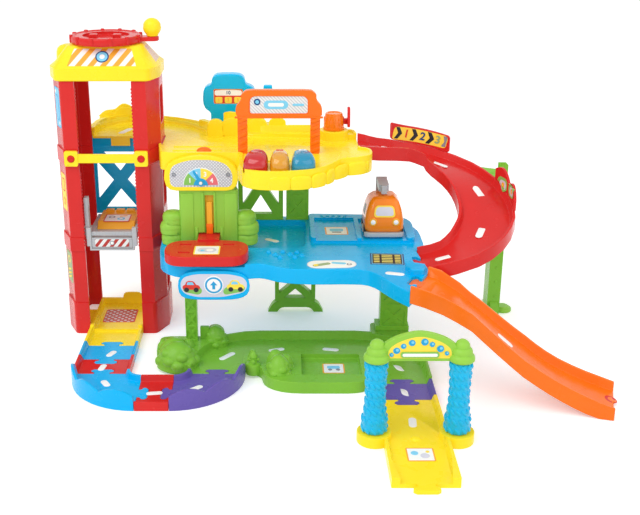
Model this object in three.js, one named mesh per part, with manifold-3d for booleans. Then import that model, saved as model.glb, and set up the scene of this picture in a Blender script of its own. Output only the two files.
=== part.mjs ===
// Toy parking garage with a cranked lift, two decks, two ramps, a ground track and a car wash.
// Lengths are in millimetres. The lift shaft's axis is at x = 0, y = 0, the ground is at z = 0,
// x runs to the ramps on the right and y runs away from the front.

import * as THREE from 'three';
import { mergeVertices } from 'three/addons/utils/BufferGeometryUtils.js';
import Module from 'manifold-3d';

// Track sizes
const lane = 80;
const kerbRise = 13;
const floorRise = 5;
const kerbLip = 4;
const kerbSlope = 3;
const wallRise = 30;
const shortRun = 45;
const bendRadius = 57.5;
const entryRun = 112.5;
const baseStub = 21;
const baseRun = 140;
const baseEnd = 51;
const washRun = 200.5;

// Storey heights
const levelOne = 150;
const levelTwo = 280;
const towerTop = 385;
const skirtDropOne = 18;
const skirtDropTwo = 16;
const tableRiseOne = 4;
const tableRiseTwo = 7;
const kerbRiseDeck = 3;

// Walls and clearances
const shell = 3;
const sideWall = 4;
const panelThick = 4;
const seam = 0.4;
const gap = 0.3;
const turningGap = 0.6;
const overrun = 2;
const tabClearance = 0.4;

// Tower sizes
const collarHeight = 22;
const collarProud = 1.6;
const footBand = 50;
const pegRadius = 5.2;
const pegReach = 7.5;
const pegHeight = 275;
const barHeight = 13;
const barThick = 3.1;
const socketThick = 5.1;
const braceThick = 5;

// Roof, crank and winch sizes
const rimHeight = 17;
const roofTop = 430;
const crankRadius = 50;
const crankThick = 10;
const armThick = 6;
const armRise = 2;
const knobRadius = 13;
const pinRadius = 4;
const shaftRadius = 6;
const drumRadius = 16;
const flangeRadius = 20;
const flangeThick = 2;
const drumHeight = 20;
const pulleyRadius = 6;
const pulleyFlange = 8;
const pulleyWidth = 5;
const axleRadius = 2;
const cordRadius = 0.8;

// Lift sizes
const carriageThick = 5;
const carriageRest = 147;
const trayThick = 10.5;
const flapThick = 2.7;
const hingeRadius = 1.6;

// Ramp sizes
const rampRim = 10;
const rampSkirt = 10;
const slideRim = 12;
const slideSkirt = 12;
const signHeight = 26;

// Small moving pieces
const weighTrayThick = 14;
const buttonHeight = 22;
const buttonTravel = 3;
const stopRadius = 16;
const stopHeight = 25;
const stopPad = 15;
const brushHeight = 95;
const spindleRadius = 5;
const washPad = 14;
const wheelRadius = 9;
const wheelWidth = 8;
const wheelAxle = 2.5;

// Levels and places that follow from the sizes above
const skirtOne = levelOne - skirtDropOne;
const skirtTwo = levelTwo - skirtDropTwo;
const tableOne = levelOne + tableRiseOne;
const tableTwo = levelTwo + tableRiseTwo;
const columnInner = lane / 2;
const halfLane = lane / 2;
const trackTurn = -(entryRun + 2 * shortRun);
const trackFront = trackTurn - bendRadius;
const crossEnd = bendRadius + shortRun;
const baseStart = crossEnd + bendRadius;
const baseBend = trackTurn + baseStub;
const baseRight = baseStart + bendRadius + baseRun;
const washCentre = baseRight + bendRadius;
const baseFront = baseBend - baseEnd;
const washBack = baseFront - shortRun;
const washFront = washBack - washRun;

const north = Math.PI / 2;
const south = -Math.PI / 2;
const east = 0;
const west = Math.PI;

const looks = {
  red: [0xc5161d, 0.32],
  yellow: [0xffd21a, 0.35],
  blue: [0x1ba3e0, 0.32],
  green: [0x63b82e, 0.4],
  leaf: [0x86c93a, 0.4],
  frame: [0x4aa136, 0.42],
  orange: [0xf57f20, 0.34],
  purple: [0x6650a4, 0.38],
  grey: [0x9a9ca1, 0.4],
  black: [0x1d1d20, 0.6],
  white: [0xeeeeea, 0.45],
  cord: [0xe8e4d8, 0.8],
  brush: [0x1f9fd8, 0.5],
  amber: [0xe2a21d, 0.22],
};

const wasm = await Module();
wasm.setup();
const garage = new THREE.Group();
garage.name = 'parking_garage';

// Solids

function solid(geometry) {
  geometry.deleteAttribute('normal');
  geometry.deleteAttribute('uv');
  const merged = mergeVertices(geometry);
  return new wasm.Manifold(new wasm.Mesh({
    numProp: 3,
    vertProperties: Float32Array.from(merged.attributes.position.array),
    triVerts: Uint32Array.from(merged.index.array),
  }));
}

function join(...bodies) {
  return bodies.flat().reduce((sum, body) => sum.add(body));
}

function cut(body, ...tools) {
  return tools.flat().reduce((left, tool) => left.subtract(tool), body);
}

function piece(name, body, look) {
  const made = body.getMesh();
  const geometry = new THREE.BufferGeometry();
  geometry.setAttribute('position', new THREE.BufferAttribute(Float32Array.from(made.vertProperties), 3));
  geometry.setIndex(new THREE.BufferAttribute(Uint32Array.from(made.triVerts), 1));
  geometry.computeVertexNormals();
  const [color, roughness] = looks[look];
  const mesh = new THREE.Mesh(geometry, new THREE.MeshStandardMaterial({ color, roughness, metalness: 0 }));
  mesh.name = name;
  garage.add(mesh);
}

function box(left, right, front, back, low, high) {
  const geometry = new THREE.BoxGeometry(right - left, back - front, high - low);
  geometry.translate((left + right) / 2, (front + back) / 2, (low + high) / 2);
  return solid(geometry);
}

// A box given as shares of the lane: left, right, front, back, low and high over a base height
function block(shares, base = 0) {
  const [left, right, front, back, low, high] = shares.map((share) => share * lane);
  return box(left, right, front, back, base + low, base + high);
}

function spread(shares, unit = lane) {
  return shares.map((row) => row.map((share) => share * unit));
}

function move(body, x, y, z = 0) {
  return body.translate([x, y, z]);
}

// An outline whose corners, given as x, y and radius, are rounded
function rounded(points) {
  const shape = new THREE.Shape();
  const mostShare = 0.49;
  points.forEach(([x, y, radius = 0], index) => {
    const before = points[(index + points.length - 1) % points.length];
    const after = points[(index + 1) % points.length];
    const toward = ([nextX, nextY]) => {
      const reach = Math.hypot(nextX - x, nextY - y);
      const share = Math.min(radius / reach, mostShare);
      return [x + (nextX - x) * share, y + (nextY - y) * share];
    };
    const entry = radius > 0 ? toward(before) : [x, y];
    if (index === 0) shape.moveTo(...entry);
    else shape.lineTo(...entry);
    if (radius > 0) shape.quadraticCurveTo(x, y, ...toward(after));
  });
  shape.closePath();
  return shape;
}

// The same outline drawn in by a distance, or out by a negative one
function offset(points, distance) {
  const area = points.reduce((sum, [x, y], index) => {
    const [nextX, nextY] = points[(index + 1) % points.length];
    return sum + x * nextY - nextX * y;
  }, 0);
  const inward = area > 0 ? distance : -distance;
  const normal = ([fromX, fromY], [toX, toY]) => {
    const reach = Math.hypot(toX - fromX, toY - fromY);
    return [-(toY - fromY) / reach, (toX - fromX) / reach];
  };
  return points.map((point, index) => {
    const before = points[(index + points.length - 1) % points.length];
    const after = points[(index + 1) % points.length];
    const [ax, ay] = normal(before, point);
    const [bx, by] = normal(point, after);
    const scale = inward / (1 + ax * bx + ay * by);
    return [point[0] + (ax + bx) * scale, point[1] + (ay + by) * scale, point[2] ?? 0];
  });
}

function extrude(points, depth, curveSegments) {
  return new THREE.ExtrudeGeometry(rounded(points), { depth, bevelEnabled: false, curveSegments });
}

function plate(points, low, high, curveSegments = 3) {
  return solid(extrude(points, high - low, curveSegments).translate(0, 0, low));
}

// An outline in x and z, standing between a front and a back
function frontPanel(points, front, back, curveSegments = 3) {
  return solid(extrude(points, back - front, curveSegments).rotateX(Math.PI / 2).translate(0, back, 0));
}

// An outline in y and z, standing between a left and a right
function sidePanel(points, left, right, curveSegments = 3) {
  const turn = new THREE.Matrix4().set(0, 0, 1, left, 1, 0, 0, 0, 0, 1, 0, 0, 0, 0, 0, 1);
  return solid(extrude(points, right - left, curveSegments).applyMatrix4(turn));
}

function rod(x, y, radius, low, high, sides = 14) {
  const geometry = new THREE.CylinderGeometry(radius, radius, high - low, sides);
  return solid(geometry.rotateX(Math.PI / 2).translate(x, y, (low + high) / 2));
}

function rodAlongY(x, z, radius, front, back, sides = 14) {
  const geometry = new THREE.CylinderGeometry(radius, radius, back - front, sides);
  return solid(geometry.translate(x, (front + back) / 2, z));
}

function rodAlongX(y, z, radius, left, right, sides = 12) {
  const geometry = new THREE.CylinderGeometry(radius, radius, right - left, sides);
  return solid(geometry.rotateZ(Math.PI / 2).translate((left + right) / 2, y, z));
}

function turned(profile, x, y, sides = 14) {
  const points = profile.map(([radius, height]) => new THREE.Vector2(radius, height));
  return solid(new THREE.LatheGeometry(points, sides).rotateX(Math.PI / 2).translate(x, y, 0));
}

function dome(x, y, radius, low, high, sides = 9) {
  const rings = 3;
  const profile = [[0, low]];
  for (let ring = 0; ring <= rings; ring += 1) {
    const angle = (ring / rings) * north;
    const reach = ring === rings ? 0 : radius * Math.cos(angle);
    profile.push([reach, low + (high - low) * (1 / rings + (1 - 1 / rings) * Math.sin(angle))]);
  }
  profile.splice(1, 0, [radius, low]);
  return turned(profile, x, y, sides);
}

// A stack of rings with the same number of points, closed by a fan at both ends
function loft(rings) {
  const count = rings[0].length;
  const spots = rings.flat(2);
  const faces = [];
  for (let ring = 0; ring < rings.length - 1; ring += 1) {
    for (let index = 0; index < count; index += 1) {
      const next = (index + 1) % count;
      const a = ring * count + index;
      const b = ring * count + next;
      faces.push(a, b, b + count, a, b + count, a + count);
    }
  }
  const last = (rings.length - 1) * count;
  const centre = (ring) => [0, 1, 2].map((axis) => ring.reduce((sum, spot) => sum + spot[axis], 0) / count);
  spots.push(...centre(rings[0]), ...centre(rings[rings.length - 1]));
  const lowCentre = rings.length * count;
  for (let index = 0; index < count; index += 1) {
    const next = (index + 1) % count;
    faces.push(lowCentre, next, index, lowCentre + 1, last + index, last + next);
  }
  const geometry = new THREE.BufferGeometry();
  geometry.setAttribute('position', new THREE.BufferAttribute(Float32Array.from(spots), 3));
  geometry.setIndex(faces);
  return solid(geometry);
}

// An outline lofted through levels, each a scale about its middle and a height
function mound(points, levels, curveSegments = 3) {
  const outline = rounded(points).getPoints(curveSegments);
  if (outline[0].distanceTo(outline[outline.length - 1]) === 0) outline.pop();
  if (THREE.ShapeUtils.isClockWise(outline)) outline.reverse();
  const middle = new THREE.Vector2();
  outline.forEach((spot) => middle.addScaledVector(spot, 1 / outline.length));
  return loft(levels.map(([scale, height]) => outline.map((spot) => [
    middle.x + (spot.x - middle.x) * scale,
    middle.y + (spot.y - middle.y) * scale,
    height,
  ])));
}

// Ways: a share from 0 to 1 gives a spot and a heading

function lineWay(x, y, heading, length) {
  const way = (share) => ({
    x: x + Math.cos(heading) * length * share,
    y: y + Math.sin(heading) * length * share,
    z: 0,
    heading,
  });
  return Object.assign(way, { reach: length });
}

function arcWay(x, y, radius, from, to) {
  const turn = Math.sign(to - from) * north;
  const way = (share) => {
    const angle = from + (to - from) * share;
    return { x: x + Math.cos(angle) * radius, y: y + Math.sin(angle) * radius, z: 0, heading: angle + turn };
  };
  return Object.assign(way, { reach: Math.abs(to - from) * radius });
}

function chainWay(ways) {
  const total = ways.reduce((sum, way) => sum + way.reach, 0);
  return (share) => {
    let left = share * total;
    const index = ways.findIndex((way, order) => {
      if (left <= way.reach || order === ways.length - 1) return true;
      left -= way.reach;
      return false;
    });
    return ways[index](Math.min(left / ways[index].reach, 1));
  };
}

function curveWay(points) {
  const curve = new THREE.CatmullRomCurve3(points.map(([x, y, z]) => new THREE.Vector3(x, y, z)));
  return (share) => {
    const spot = curve.getPointAt(share);
    const along = curve.getTangentAt(share);
    return { x: spot.x, y: spot.y, z: spot.z, heading: Math.atan2(along.y, along.x) };
  };
}

// A section, with x to the left of travel and y up, carried along a way
function sweep(section, steps, way, shaped = (x, y) => y) {
  const shape = new THREE.Shape(section.map(([x, y]) => new THREE.Vector2(x, y)));
  const geometry = new THREE.ExtrudeGeometry(shape, { depth: 1, steps, bevelEnabled: false });
  const spots = geometry.attributes.position;
  for (let index = 0; index < spots.count; index += 1) {
    const share = spots.getZ(index);
    const side = spots.getX(index);
    const { x, y, z, heading } = way(share);
    const height = z + shaped(side, spots.getY(index), share);
    spots.setXYZ(index, x - Math.sin(heading) * side, y + Math.cos(heading) * side, Math.max(height, 0));
  }
  return solid(geometry);
}

function channel(left, right, half = halfLane) {
  const lip = half - kerbLip;
  const toe = lip - kerbSlope;
  return [
    [-half, 0], [half, 0], [half, left], [lip, left],
    [toe, floorRise], [-toe, floorRise], [-lip, right], [-half, right],
  ];
}

// The open space over a channel's floor
function hollow(height) {
  const lip = halfLane - kerbLip;
  const toe = lip - kerbSlope;
  return [[-toe, floorRise], [toe, floorRise], [lip, height], [-lip, height]];
}

// Puzzle tabs that join the track pieces, as shares of the lane along and across
const tabHalfShares = [[-0.05, 0.13], [0.05, 0.13], [0.08, 0.19], [0.13, 0.2], [0.17, 0.15]];

function tabOutline(x, y, heading, grow) {
  const half = spread(tabHalfShares);
  const points = [...half, ...half.map(([along, across]) => [along, -across]).reverse()];
  return offset(points, -grow).map(([along, across]) => [
    x + Math.cos(heading) * along - Math.sin(heading) * across,
    y + Math.sin(heading) * along + Math.cos(heading) * across,
  ]);
}

function tab(x, y, heading, low = 0, high = floorRise) {
  return plate(tabOutline(x, y, heading, 0), low, high);
}

function notch(x, y, heading, low = -overrun, high = floorRise + overrun) {
  return plate(tabOutline(x, y, heading, tabClearance), low, high);
}

// Tower

// One side's outline, open to the shaft, as shares of the lane
const towerSideShares = [
  [0.5, -0.7125], [0.75, -0.7125], [0.9375, -0.3125], [0.9375, 0.3125], [0.75, 0.7125], [0.5, 0.7125],
];
const towerSide = spread(towerSideShares);
const towerDepth = towerSide[5][1];
const towerFront = -(towerDepth + collarProud + gap);
const pegPlace = lane * 5 / 8;

function towerCavity(low, high) {
  const inner = offset(towerSide, sideWall);
  const open = inner.map(([x, y]) => [x < towerSide[1][0] - sideWall ? columnInner - overrun : x, y]);
  return plate(open, low, high);
}

function towerModule(low, high, bandHigh, windowed) {
  const bands = plate(offset(towerSide, -collarProud), low, bandHigh);
  const outside = join(plate(towerSide, low, high), bands);
  const shaft = box(0, columnInner, -lane, lane, low - overrun, high + overrun);
  const module = cut(outside, shaft, towerCavity(low - overrun, high + overrun));
  return windowed ? cut(module, towerWindow(low, high)) : module;
}

// A window's half width and corner as shares of the lane, its foot and head as shares of the module
const windowShares = { half: 0.22, corner: 0.12, foot: 0.42, head: 0.86 };

function towerWindow(low, high) {
  const half = lane * windowShares.half;
  const corner = lane * windowShares.corner;
  const foot = low + (high - low) * windowShares.foot;
  const head = low + (high - low) * windowShares.head;
  const outline = [[-half, foot, corner], [half, foot, corner], [half, head, corner], [-half, head, corner]];
  return sidePanel(outline, towerSide[1][0], lane);
}

function buildTower() {
  const modules = [
    ['lower', 0, skirtOne, footBand],
    ['middle', skirtOne, skirtTwo, skirtOne + collarHeight],
    ['upper', skirtTwo, towerTop, skirtTwo + collarHeight],
  ];
  modules.forEach(([name, low, high, bandHigh]) => {
    let right = towerModule(low, high, bandHigh, true);
    let left = towerModule(low, high, bandHigh, false);
    if (low < pegHeight && pegHeight <= high) {
      const peg = rodAlongY(pegPlace, pegHeight, pegRadius, -towerDepth - pegReach, -towerDepth);
      right = join(right, peg);
      left = join(left, peg);
    }
    piece(`tower_right_${name}`, right, 'red');
    piece(`tower_left_${name}`, left.mirror([1, 0, 0]), 'red');
  });
}

// The basin under the lift: its lip, hump, posts and ears as shares of the lane
const basinLipShares = [-0.49, 0.49, 0.57, 0.625, 0, 0.175];
const basinHumpShares = [[-0.06, 0], [0.32, 0], [0.32, 0.3, 0.1], [-0.06, 0.3, 0.1]];
const basinSillShares = [-0.48, 0.48, -0.79, -0.725, 0, 0.11];
const basinPostShares = [0.42, 0.49, -0.8, -0.72, 0, 0.2];
const basinEarShares = [-0.88, 0.88, -0.29, 0.29, 0, 0.05];

function buildTowerFloor() {
  const half = columnInner - gap;
  const back = lane * basinLipShares[3];
  const way = lineWay(0, -entryRun, north, entryRun + back);
  const [, , humpFront, humpBack] = basinLipShares.map((share) => share * lane);
  const posts = block(basinPostShares);
  const body = join(
    sweep(channel(kerbRise, kerbRise, half), 1, way),
    block(basinEarShares),
    block(basinLipShares),
    frontPanel(spread(basinHumpShares), humpFront, humpBack),
    block(basinSillShares),
    posts,
    posts.mirror([1, 0, 0]),
  );
  piece('tower_floor', cut(body, notch(0, -entryRun, north)), 'yellow');
}

// The brace's holes, as shares of its half width and half height
const braceHoleShares = [
  [[-0.8, -0.55], [-0.24, 0], [-0.8, 0.55]],
  [[0.8, -0.55], [0.8, 0.55], [0.24, 0]],
  [[-0.55, 0.82], [0, 0.26], [0.55, 0.82]],
  [[-0.55, -0.82], [0.55, -0.82], [0, -0.26]],
];

function crossHoles(left, right, low, high) {
  const half = (right - left) / 2;
  const rise = (high - low) / 2;
  return braceHoleShares.map((hole) => (
    hole.map(([across, up]) => [left + half + across * half, low + rise + up * rise])
  ));
}

function buildRearBrace() {
  const half = towerSide[0][0] + sideWall;
  const front = towerDepth + gap;
  const low = skirtOne + collarHeight + gap;
  const high = skirtTwo - gap;
  const back = front + braceThick;
  const outside = box(-half, half, front, back, low, high);
  const holes = crossHoles(-half, half, low, high).map((hole) => (
    frontPanel(hole, front - overrun, back + overrun)
  ));
  piece('rear_brace', cut(outside, holes), 'blue');
}

// The bar's sockets as shares of the lane across and up from each peg
const socketShares = [[-0.12, -0.14, 0.04], [0.12, -0.14, 0.04], [0.12, 0.14, 0.04], [-0.12, 0.14, 0.04]];

function buildFrontBar() {
  const low = pegHeight - barHeight / 2;
  const bar = box(-pegPlace, pegPlace, towerFront - barThick, towerFront, low, low + barHeight);
  const ends = [-pegPlace, pegPlace].map((x) => {
    const outline = spread(socketShares).map(([across, up, corner]) => [x + across, pegHeight + up, corner]);
    return frontPanel(outline, towerFront - socketThick, towerFront, 3);
  });
  const holes = [-pegPlace, pegPlace].map((x) => (
    rodAlongY(x, pegHeight, pegRadius + gap, towerFront - lane, 0)
  ));
  piece('front_bar', cut(join(bar, ends), holes), 'yellow');
}

// Roof, crank and winch

// Outlines as shares of the lane: the rim, the ridge and the space inside
const rimShares = [
  [-0.82, -0.75], [0.82, -0.75], [0.975, -0.33], [0.975, 0.33], [0.82, 0.75], [-0.82, 0.75],
  [-0.975, 0.33], [-0.975, -0.33],
];
const ridgeShares = [
  [-0.6, -0.4], [0.6, -0.4], [0.66, -0.18], [0.66, 0.18], [0.6, 0.4], [-0.6, 0.4],
  [-0.66, 0.18], [-0.66, -0.18],
];
const atticShares = [[-0.7, -0.6], [0.7, -0.6], [0.7, 0.6], [-0.7, 0.6]];
const atticTopShares = [[-0.56, -0.33], [0.56, -0.33], [0.56, 0.33], [-0.56, 0.33]];
const podShares = [[0, 0.06], [0.19, 0.06], [0.215, 0.2], [0.2, 0.38], [0.14, 0.46], [0, 0.485]];
const podPlaceShares = [-0.76, 0.31];
const pulleyPlaceShares = [-0.575, 0.215];
const earShares = [-0.65, -0.5, 0.1, 0.36];

const drumTop = roofTop - shell - turningGap - flangeThick;
const drumLow = drumTop - drumHeight;
const cordSide = -(drumRadius + cordRadius + gap);
const pulleyX = lane * pulleyPlaceShares[0];
const pulleyZ = towerTop + lane * pulleyPlaceShares[1];
const cordHigh = pulleyZ + pulleyRadius + cordRadius;
const cordDrop = pulleyX - pulleyRadius - cordRadius;

function atLevel(shares, height) {
  return spread(shares).map(([x, y]) => [x, y, height]);
}

function buildRoof() {
  const rimTop = towerTop + rimHeight;
  const atticTop = roofTop - shell;
  const rim = loft([atLevel(rimShares, towerTop), atLevel(rimShares, rimTop)]);
  const eaves = offset(spread(rimShares), shell).map(([x, y]) => [x, y, rimTop]);
  const pyramid = loft([eaves, atLevel(ridgeShares, roofTop)]);
  const attic = loft([
    atLevel(atticShares, towerTop - overrun), atLevel(atticShares, rimTop), atLevel(atticTopShares, atticTop),
  ]);
  const [earLeft, earRight, earLow, earHigh] = earShares.map((share) => share * lane);
  const [podX, podY] = podPlaceShares.map((share) => share * lane);
  const earGap = pulleyWidth / 2 + turningGap;
  const ears = [cordSide - earGap - shell, cordSide + earGap].map((front) => (
    box(earLeft, earRight, front, front + shell, towerTop + earLow, towerTop + earHigh)
  ));
  const pod = turned(spread(podShares).map(([reach, up]) => [reach, towerTop + up]), podX, podY);
  const bore = rod(0, 0, shaftRadius + turningGap / 2, towerTop, roofTop + overrun);
  const reach = earGap + shell;
  const pin = rodAlongY(pulleyX, pulleyZ, axleRadius, cordSide - reach, cordSide + reach, 12);
  piece('roof', join(cut(join(rim, pyramid), attic, bore), pod, ears, pin), 'yellow');
}

function buildPulley() {
  const half = pulleyWidth / 2;
  const profile = [
    [axleRadius + gap, -half], [pulleyFlange, -half], [pulleyRadius, -half / 2],
    [pulleyRadius, half / 2], [pulleyFlange, half], [axleRadius + gap, half], [axleRadius + gap, -half],
  ];
  const points = profile.map(([radius, height]) => new THREE.Vector2(radius, height));
  const geometry = new THREE.LatheGeometry(points, 20).translate(pulleyX, cordSide, pulleyZ);
  piece('guide_pulley', solid(geometry), 'grey');
}

// The crank's lobes, recess, lugs and arm as shares of the lane
const lobes = 8;
const lobeShare = 0.05;
const crankPanShare = 0.42;
const lugShares = [[-0.26, -0.12], [0.16, 0.3]];
const lugSpanShares = [-0.3, -0.16, 0, 0.05];
const armShares = [0.2, 0.94, -0.125, 0.125];
const crankTop = roofTop + turningGap + crankThick;
const knobX = lane * 0.825;

function buildCrank() {
  const low = roofTop + turningGap;
  const outline = [];
  const steps = lobes * 4;
  for (let step = 0; step < steps; step += 1) {
    const angle = (step / steps) * Math.PI * 2;
    const reach = crankRadius * (1 - lobeShare * (1 - Math.cos(angle * lobes)) / 2);
    outline.push([Math.cos(angle) * reach, Math.sin(angle) * reach]);
  }
  const pan = rod(0, 0, lane * crankPanShare, low + crankThick / 2, crankTop + overrun, 24);
  const [lugFront, lugBack, lugLow, lugHigh] = lugSpanShares.map((share) => share * lane);
  const lugs = spread(lugShares).map(([left, right]) => (
    box(left, right, lugFront, lugBack, low + crankThick / 2 + lugLow, crankTop + lugHigh)
  ));
  const [armLeft, armRight, armFront, armBack] = armShares.map((share) => share * lane);
  const corner = armBack;
  const arm = plate([
    [armLeft, armFront], [armRight, armFront, corner], [armRight, armBack, corner], [armLeft, armBack],
  ], low + armRise, low + armRise + armThick, 5);
  const pin = rod(knobX, 0, pinRadius, low + armRise, low + armRise + armThick + knobRadius, 12);
  piece('crank_disc', join(cut(plate(outline, low, crankTop), pan), lugs, arm, pin), 'red');
}

function buildCrankKnob() {
  const low = roofTop + turningGap + armRise + armThick + gap;
  const rings = 8;
  const bore = pinRadius + gap;
  const top = low + armThick + knobRadius;
  const boreTop = top - armThick + gap;
  const profile = [[0, boreTop], [bore, boreTop], [bore, low], [pinRadius * 2, low]];
  const centre = top - knobRadius / 2;
  for (let ring = 1; ring <= rings; ring += 1) {
    const angle = south / 2 + (ring / rings) * (north - south / 2);
    profile.push([ring === rings ? 0 : knobRadius * Math.cos(angle), centre + knobRadius * Math.sin(angle)]);
  }
  piece('crank_knob', turned(profile, knobX, 0, 18), 'yellow');
}

function buildWinch() {
  const shaftTop = roofTop + turningGap;
  const profile = [
    [0, drumLow], [flangeRadius, drumLow], [flangeRadius, drumLow + flangeThick],
    [drumRadius, drumLow + flangeThick], [drumRadius, drumTop], [flangeRadius, drumTop],
    [flangeRadius, drumTop + flangeThick], [shaftRadius, drumTop + flangeThick], [shaftRadius, shaftTop],
    [0, shaftTop],
  ];
  piece('winch_drum', turned(profile, 0, 0, 24), 'white');
}

// Lift

// Lift pieces as shares of the lane: left, right, front, back, low and high over the carriage's rest
const carriageFloorShares = [-0.45, 0.45, -0.6, 0.56, 0, 0.0625];
const carriagePostShares = [0.375, 0.4625, -0.69, -0.6, -0.09, 0.26];
const carriageFootShares = [0.375, 0.41, -0.69, -0.6, -0.175, -0.08];
const carriageBarShares = [-0.38, 0.38, -0.66, -0.625, 0.11, 0.18];
const carriageLipShares = [-0.38, 0.38, -0.69, -0.6, -0.175, -0.14];
const carriageSideShares = [0.36, 0.45, -0.6, 0.6, 0, 0.12];
const carriageUprightShares = [-0.4875, -0.4125, -0.62, -0.475, 0.03, 0.82];
const carriageArmShares = [-0.7, 0.7, -0.06, 0.06, -0.0375, 0.03];
const cordLugShares = [-0.74, -0.44, -0.275, -0.15, -0.0375, 0.14];
const traySpanShares = [-0.35, 0.35, -0.2, 0.6, 0.07, 0.2];
const trayPadShares = [[-0.28, -0.12], [-0.08, 0.08], [0.12, 0.28]];
const trayPadSpanShares = [0.46, 0.56, 0, 0.05];
const flapShares = [-0.125, 0.05];

function buildLift() {
  const post = block(carriagePostShares, carriageRest);
  const foot = block(carriageFootShares, carriageRest);
  const side = block(carriageSideShares, carriageRest);
  const carriage = join(
    block(carriageFloorShares, carriageRest),
    post,
    post.mirror([1, 0, 0]),
    foot,
    foot.mirror([1, 0, 0]),
    side,
    side.mirror([1, 0, 0]),
    block(carriageBarShares, carriageRest),
    block(carriageLipShares, carriageRest),
    block(carriageUprightShares, carriageRest),
    block(carriageArmShares, carriageRest),
    block(cordLugShares, carriageRest),
  );
  const [left, right, front, back] = traySpanShares.map((share) => share * lane);
  const trayLow = carriageRest + carriageThick + gap;
  const trayHigh = trayLow + trayThick;
  const wedge = [[front, trayLow], [back, trayLow], [back, trayHigh], [front + trayThick, trayHigh]];
  const [padFront, padBack, padLow, padHigh] = trayPadSpanShares.map((share) => share * lane);
  const pads = spread(trayPadShares).map(([padLeft, padRight]) => (
    box(padLeft, padRight, padFront, padBack, trayHigh - overrun + padLow, trayHigh + padHigh)
  ));
  piece('lift_carriage', carriage, 'grey');
  piece('lift_tray', join(sidePanel(wedge, left, right), pads), 'orange');
  buildFlap();
}

function buildFlap() {
  const [low, high] = flapShares.map((share) => share * lane);
  const right = lane * carriagePostShares[0] - gap;
  const left = -right;
  const back = lane * carriageBarShares[2] + hingeRadius - gap;
  const pinZ = carriageRest + high;
  const reach = carriageRest + low;
  const sheet = box(left, right, back - flapThick, back, reach, pinZ);
  piece('lift_flap', join(sheet, rodAlongX(back - hingeRadius, pinZ, hingeRadius, left, right)), 'grey');
}

// The cord runs from the drum over the guide pulley and down to the carriage's lug
function buildCord() {
  const lugTop = carriageRest + lane * cordLugShares[5];
  const bend = pulleyRadius + cordRadius;
  const path = new THREE.CurvePath();
  const start = new THREE.Vector3(0, cordSide, cordHigh);
  const overPulley = new THREE.Vector3(pulleyX, cordSide, cordHigh);
  path.add(new THREE.LineCurve3(start, overPulley));
  const arcSteps = 6;
  let last = overPulley;
  for (let step = 1; step <= arcSteps; step += 1) {
    const angle = north + (step / arcSteps) * north;
    const [across, up] = [bend * Math.cos(angle), bend * Math.sin(angle)];
    const spot = new THREE.Vector3(pulleyX + across, cordSide, pulleyZ + up);
    path.add(new THREE.LineCurve3(last, spot));
    last = spot;
  }
  const foot = new THREE.Vector3(cordDrop, cordSide, lugTop + gap);
  path.add(new THREE.LineCurve3(last, foot));
  const stops = [start, ...path.curves.map((part) => part.v2)];
  const rings = stops.map((spot, index) => {
    const before = stops[Math.max(index - 1, 0)];
    const after = stops[Math.min(index + 1, stops.length - 1)];
    const along = new THREE.Vector3().subVectors(after, before).normalize();
    const side = new THREE.Vector3(0, 1, 0);
    const up = new THREE.Vector3().crossVectors(along, side);
    const sides = 8;
    const ring = [];
    for (let step = 0; step < sides; step += 1) {
      const angle = (step / sides) * Math.PI * 2;
      const rim = spot.clone();
      rim.addScaledVector(up, Math.cos(angle) * cordRadius);
      rim.addScaledVector(side, -Math.sin(angle) * cordRadius);
      ring.push(rim.toArray());
    }
    return ring;
  });
  piece('lift_cord', loft(rings), 'cord');
}

// Ground track

function scallops(count, tall) {
  const valley = 0.45;
  return (side, height, share) => {
    if (height <= kerbRise) return height;
    const crest = valley + (1 - valley) * Math.abs(Math.sin(Math.PI * count * share));
    return kerbRise + (tall - kerbRise) * crest;
  };
}

function trackPiece(name, body, tabs, notches, look) {
  const whole = tabs.length > 0 ? join(body, tabs.map((place) => tab(...place))) : body;
  piece(name, notches.length > 0 ? cut(whole, notches.map((place) => notch(...place))) : whole, look);
}

function buildTrack() {
  const low = channel(kerbRise, kerbRise);
  const walled = channel(kerbRise, wallRise);
  const bendSteps = 12;
  const crests = 3;
  const secondStart = -(entryRun + shortRun);
  trackPiece('straight_blue', sweep(low, 1, lineWay(0, -entryRun - seam, south, shortRun - seam)),
    [[0, -entryRun - seam, north], [0, secondStart, south]], [], 'blue');
  trackPiece('straight_red', sweep(low, 1, lineWay(0, secondStart - seam, south, shortRun - seam)),
    [], [[0, secondStart - seam, south], [0, trackTurn, north]], 'red');
  const bendShare = seam / bendRadius;
  const firstBend = arcWay(bendRadius, trackTurn, bendRadius, west + bendShare, west + north - bendShare);
  trackPiece('curve_blue', sweep(walled, bendSteps, firstBend, scallops(crests, wallRise)),
    [[0, trackTurn - seam, north], [bendRadius - seam, trackFront, east]], [], 'blue');
  trackPiece('straight_cross', sweep(low, 1, lineWay(bendRadius, trackFront, east, shortRun)),
    [], [[bendRadius, trackFront, east], [crossEnd, trackFront, west]], 'red');
  const secondBend = arcWay(crossEnd, trackTurn, bendRadius, south + bendShare, -bendShare);
  trackPiece('curve_purple', sweep(walled, bendSteps, secondBend, scallops(crests, wallRise)),
    [[crossEnd + seam, trackFront, west], [baseStart, trackTurn - seam, north]], [], 'purple');
  trackPiece('connector_purple',
    sweep(low, 1, lineWay(washCentre, baseFront - seam, south, shortRun - 2 * seam)),
    [[washCentre, baseFront - seam, north], [washCentre, washBack + seam, south]], [], 'purple');
}

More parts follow.
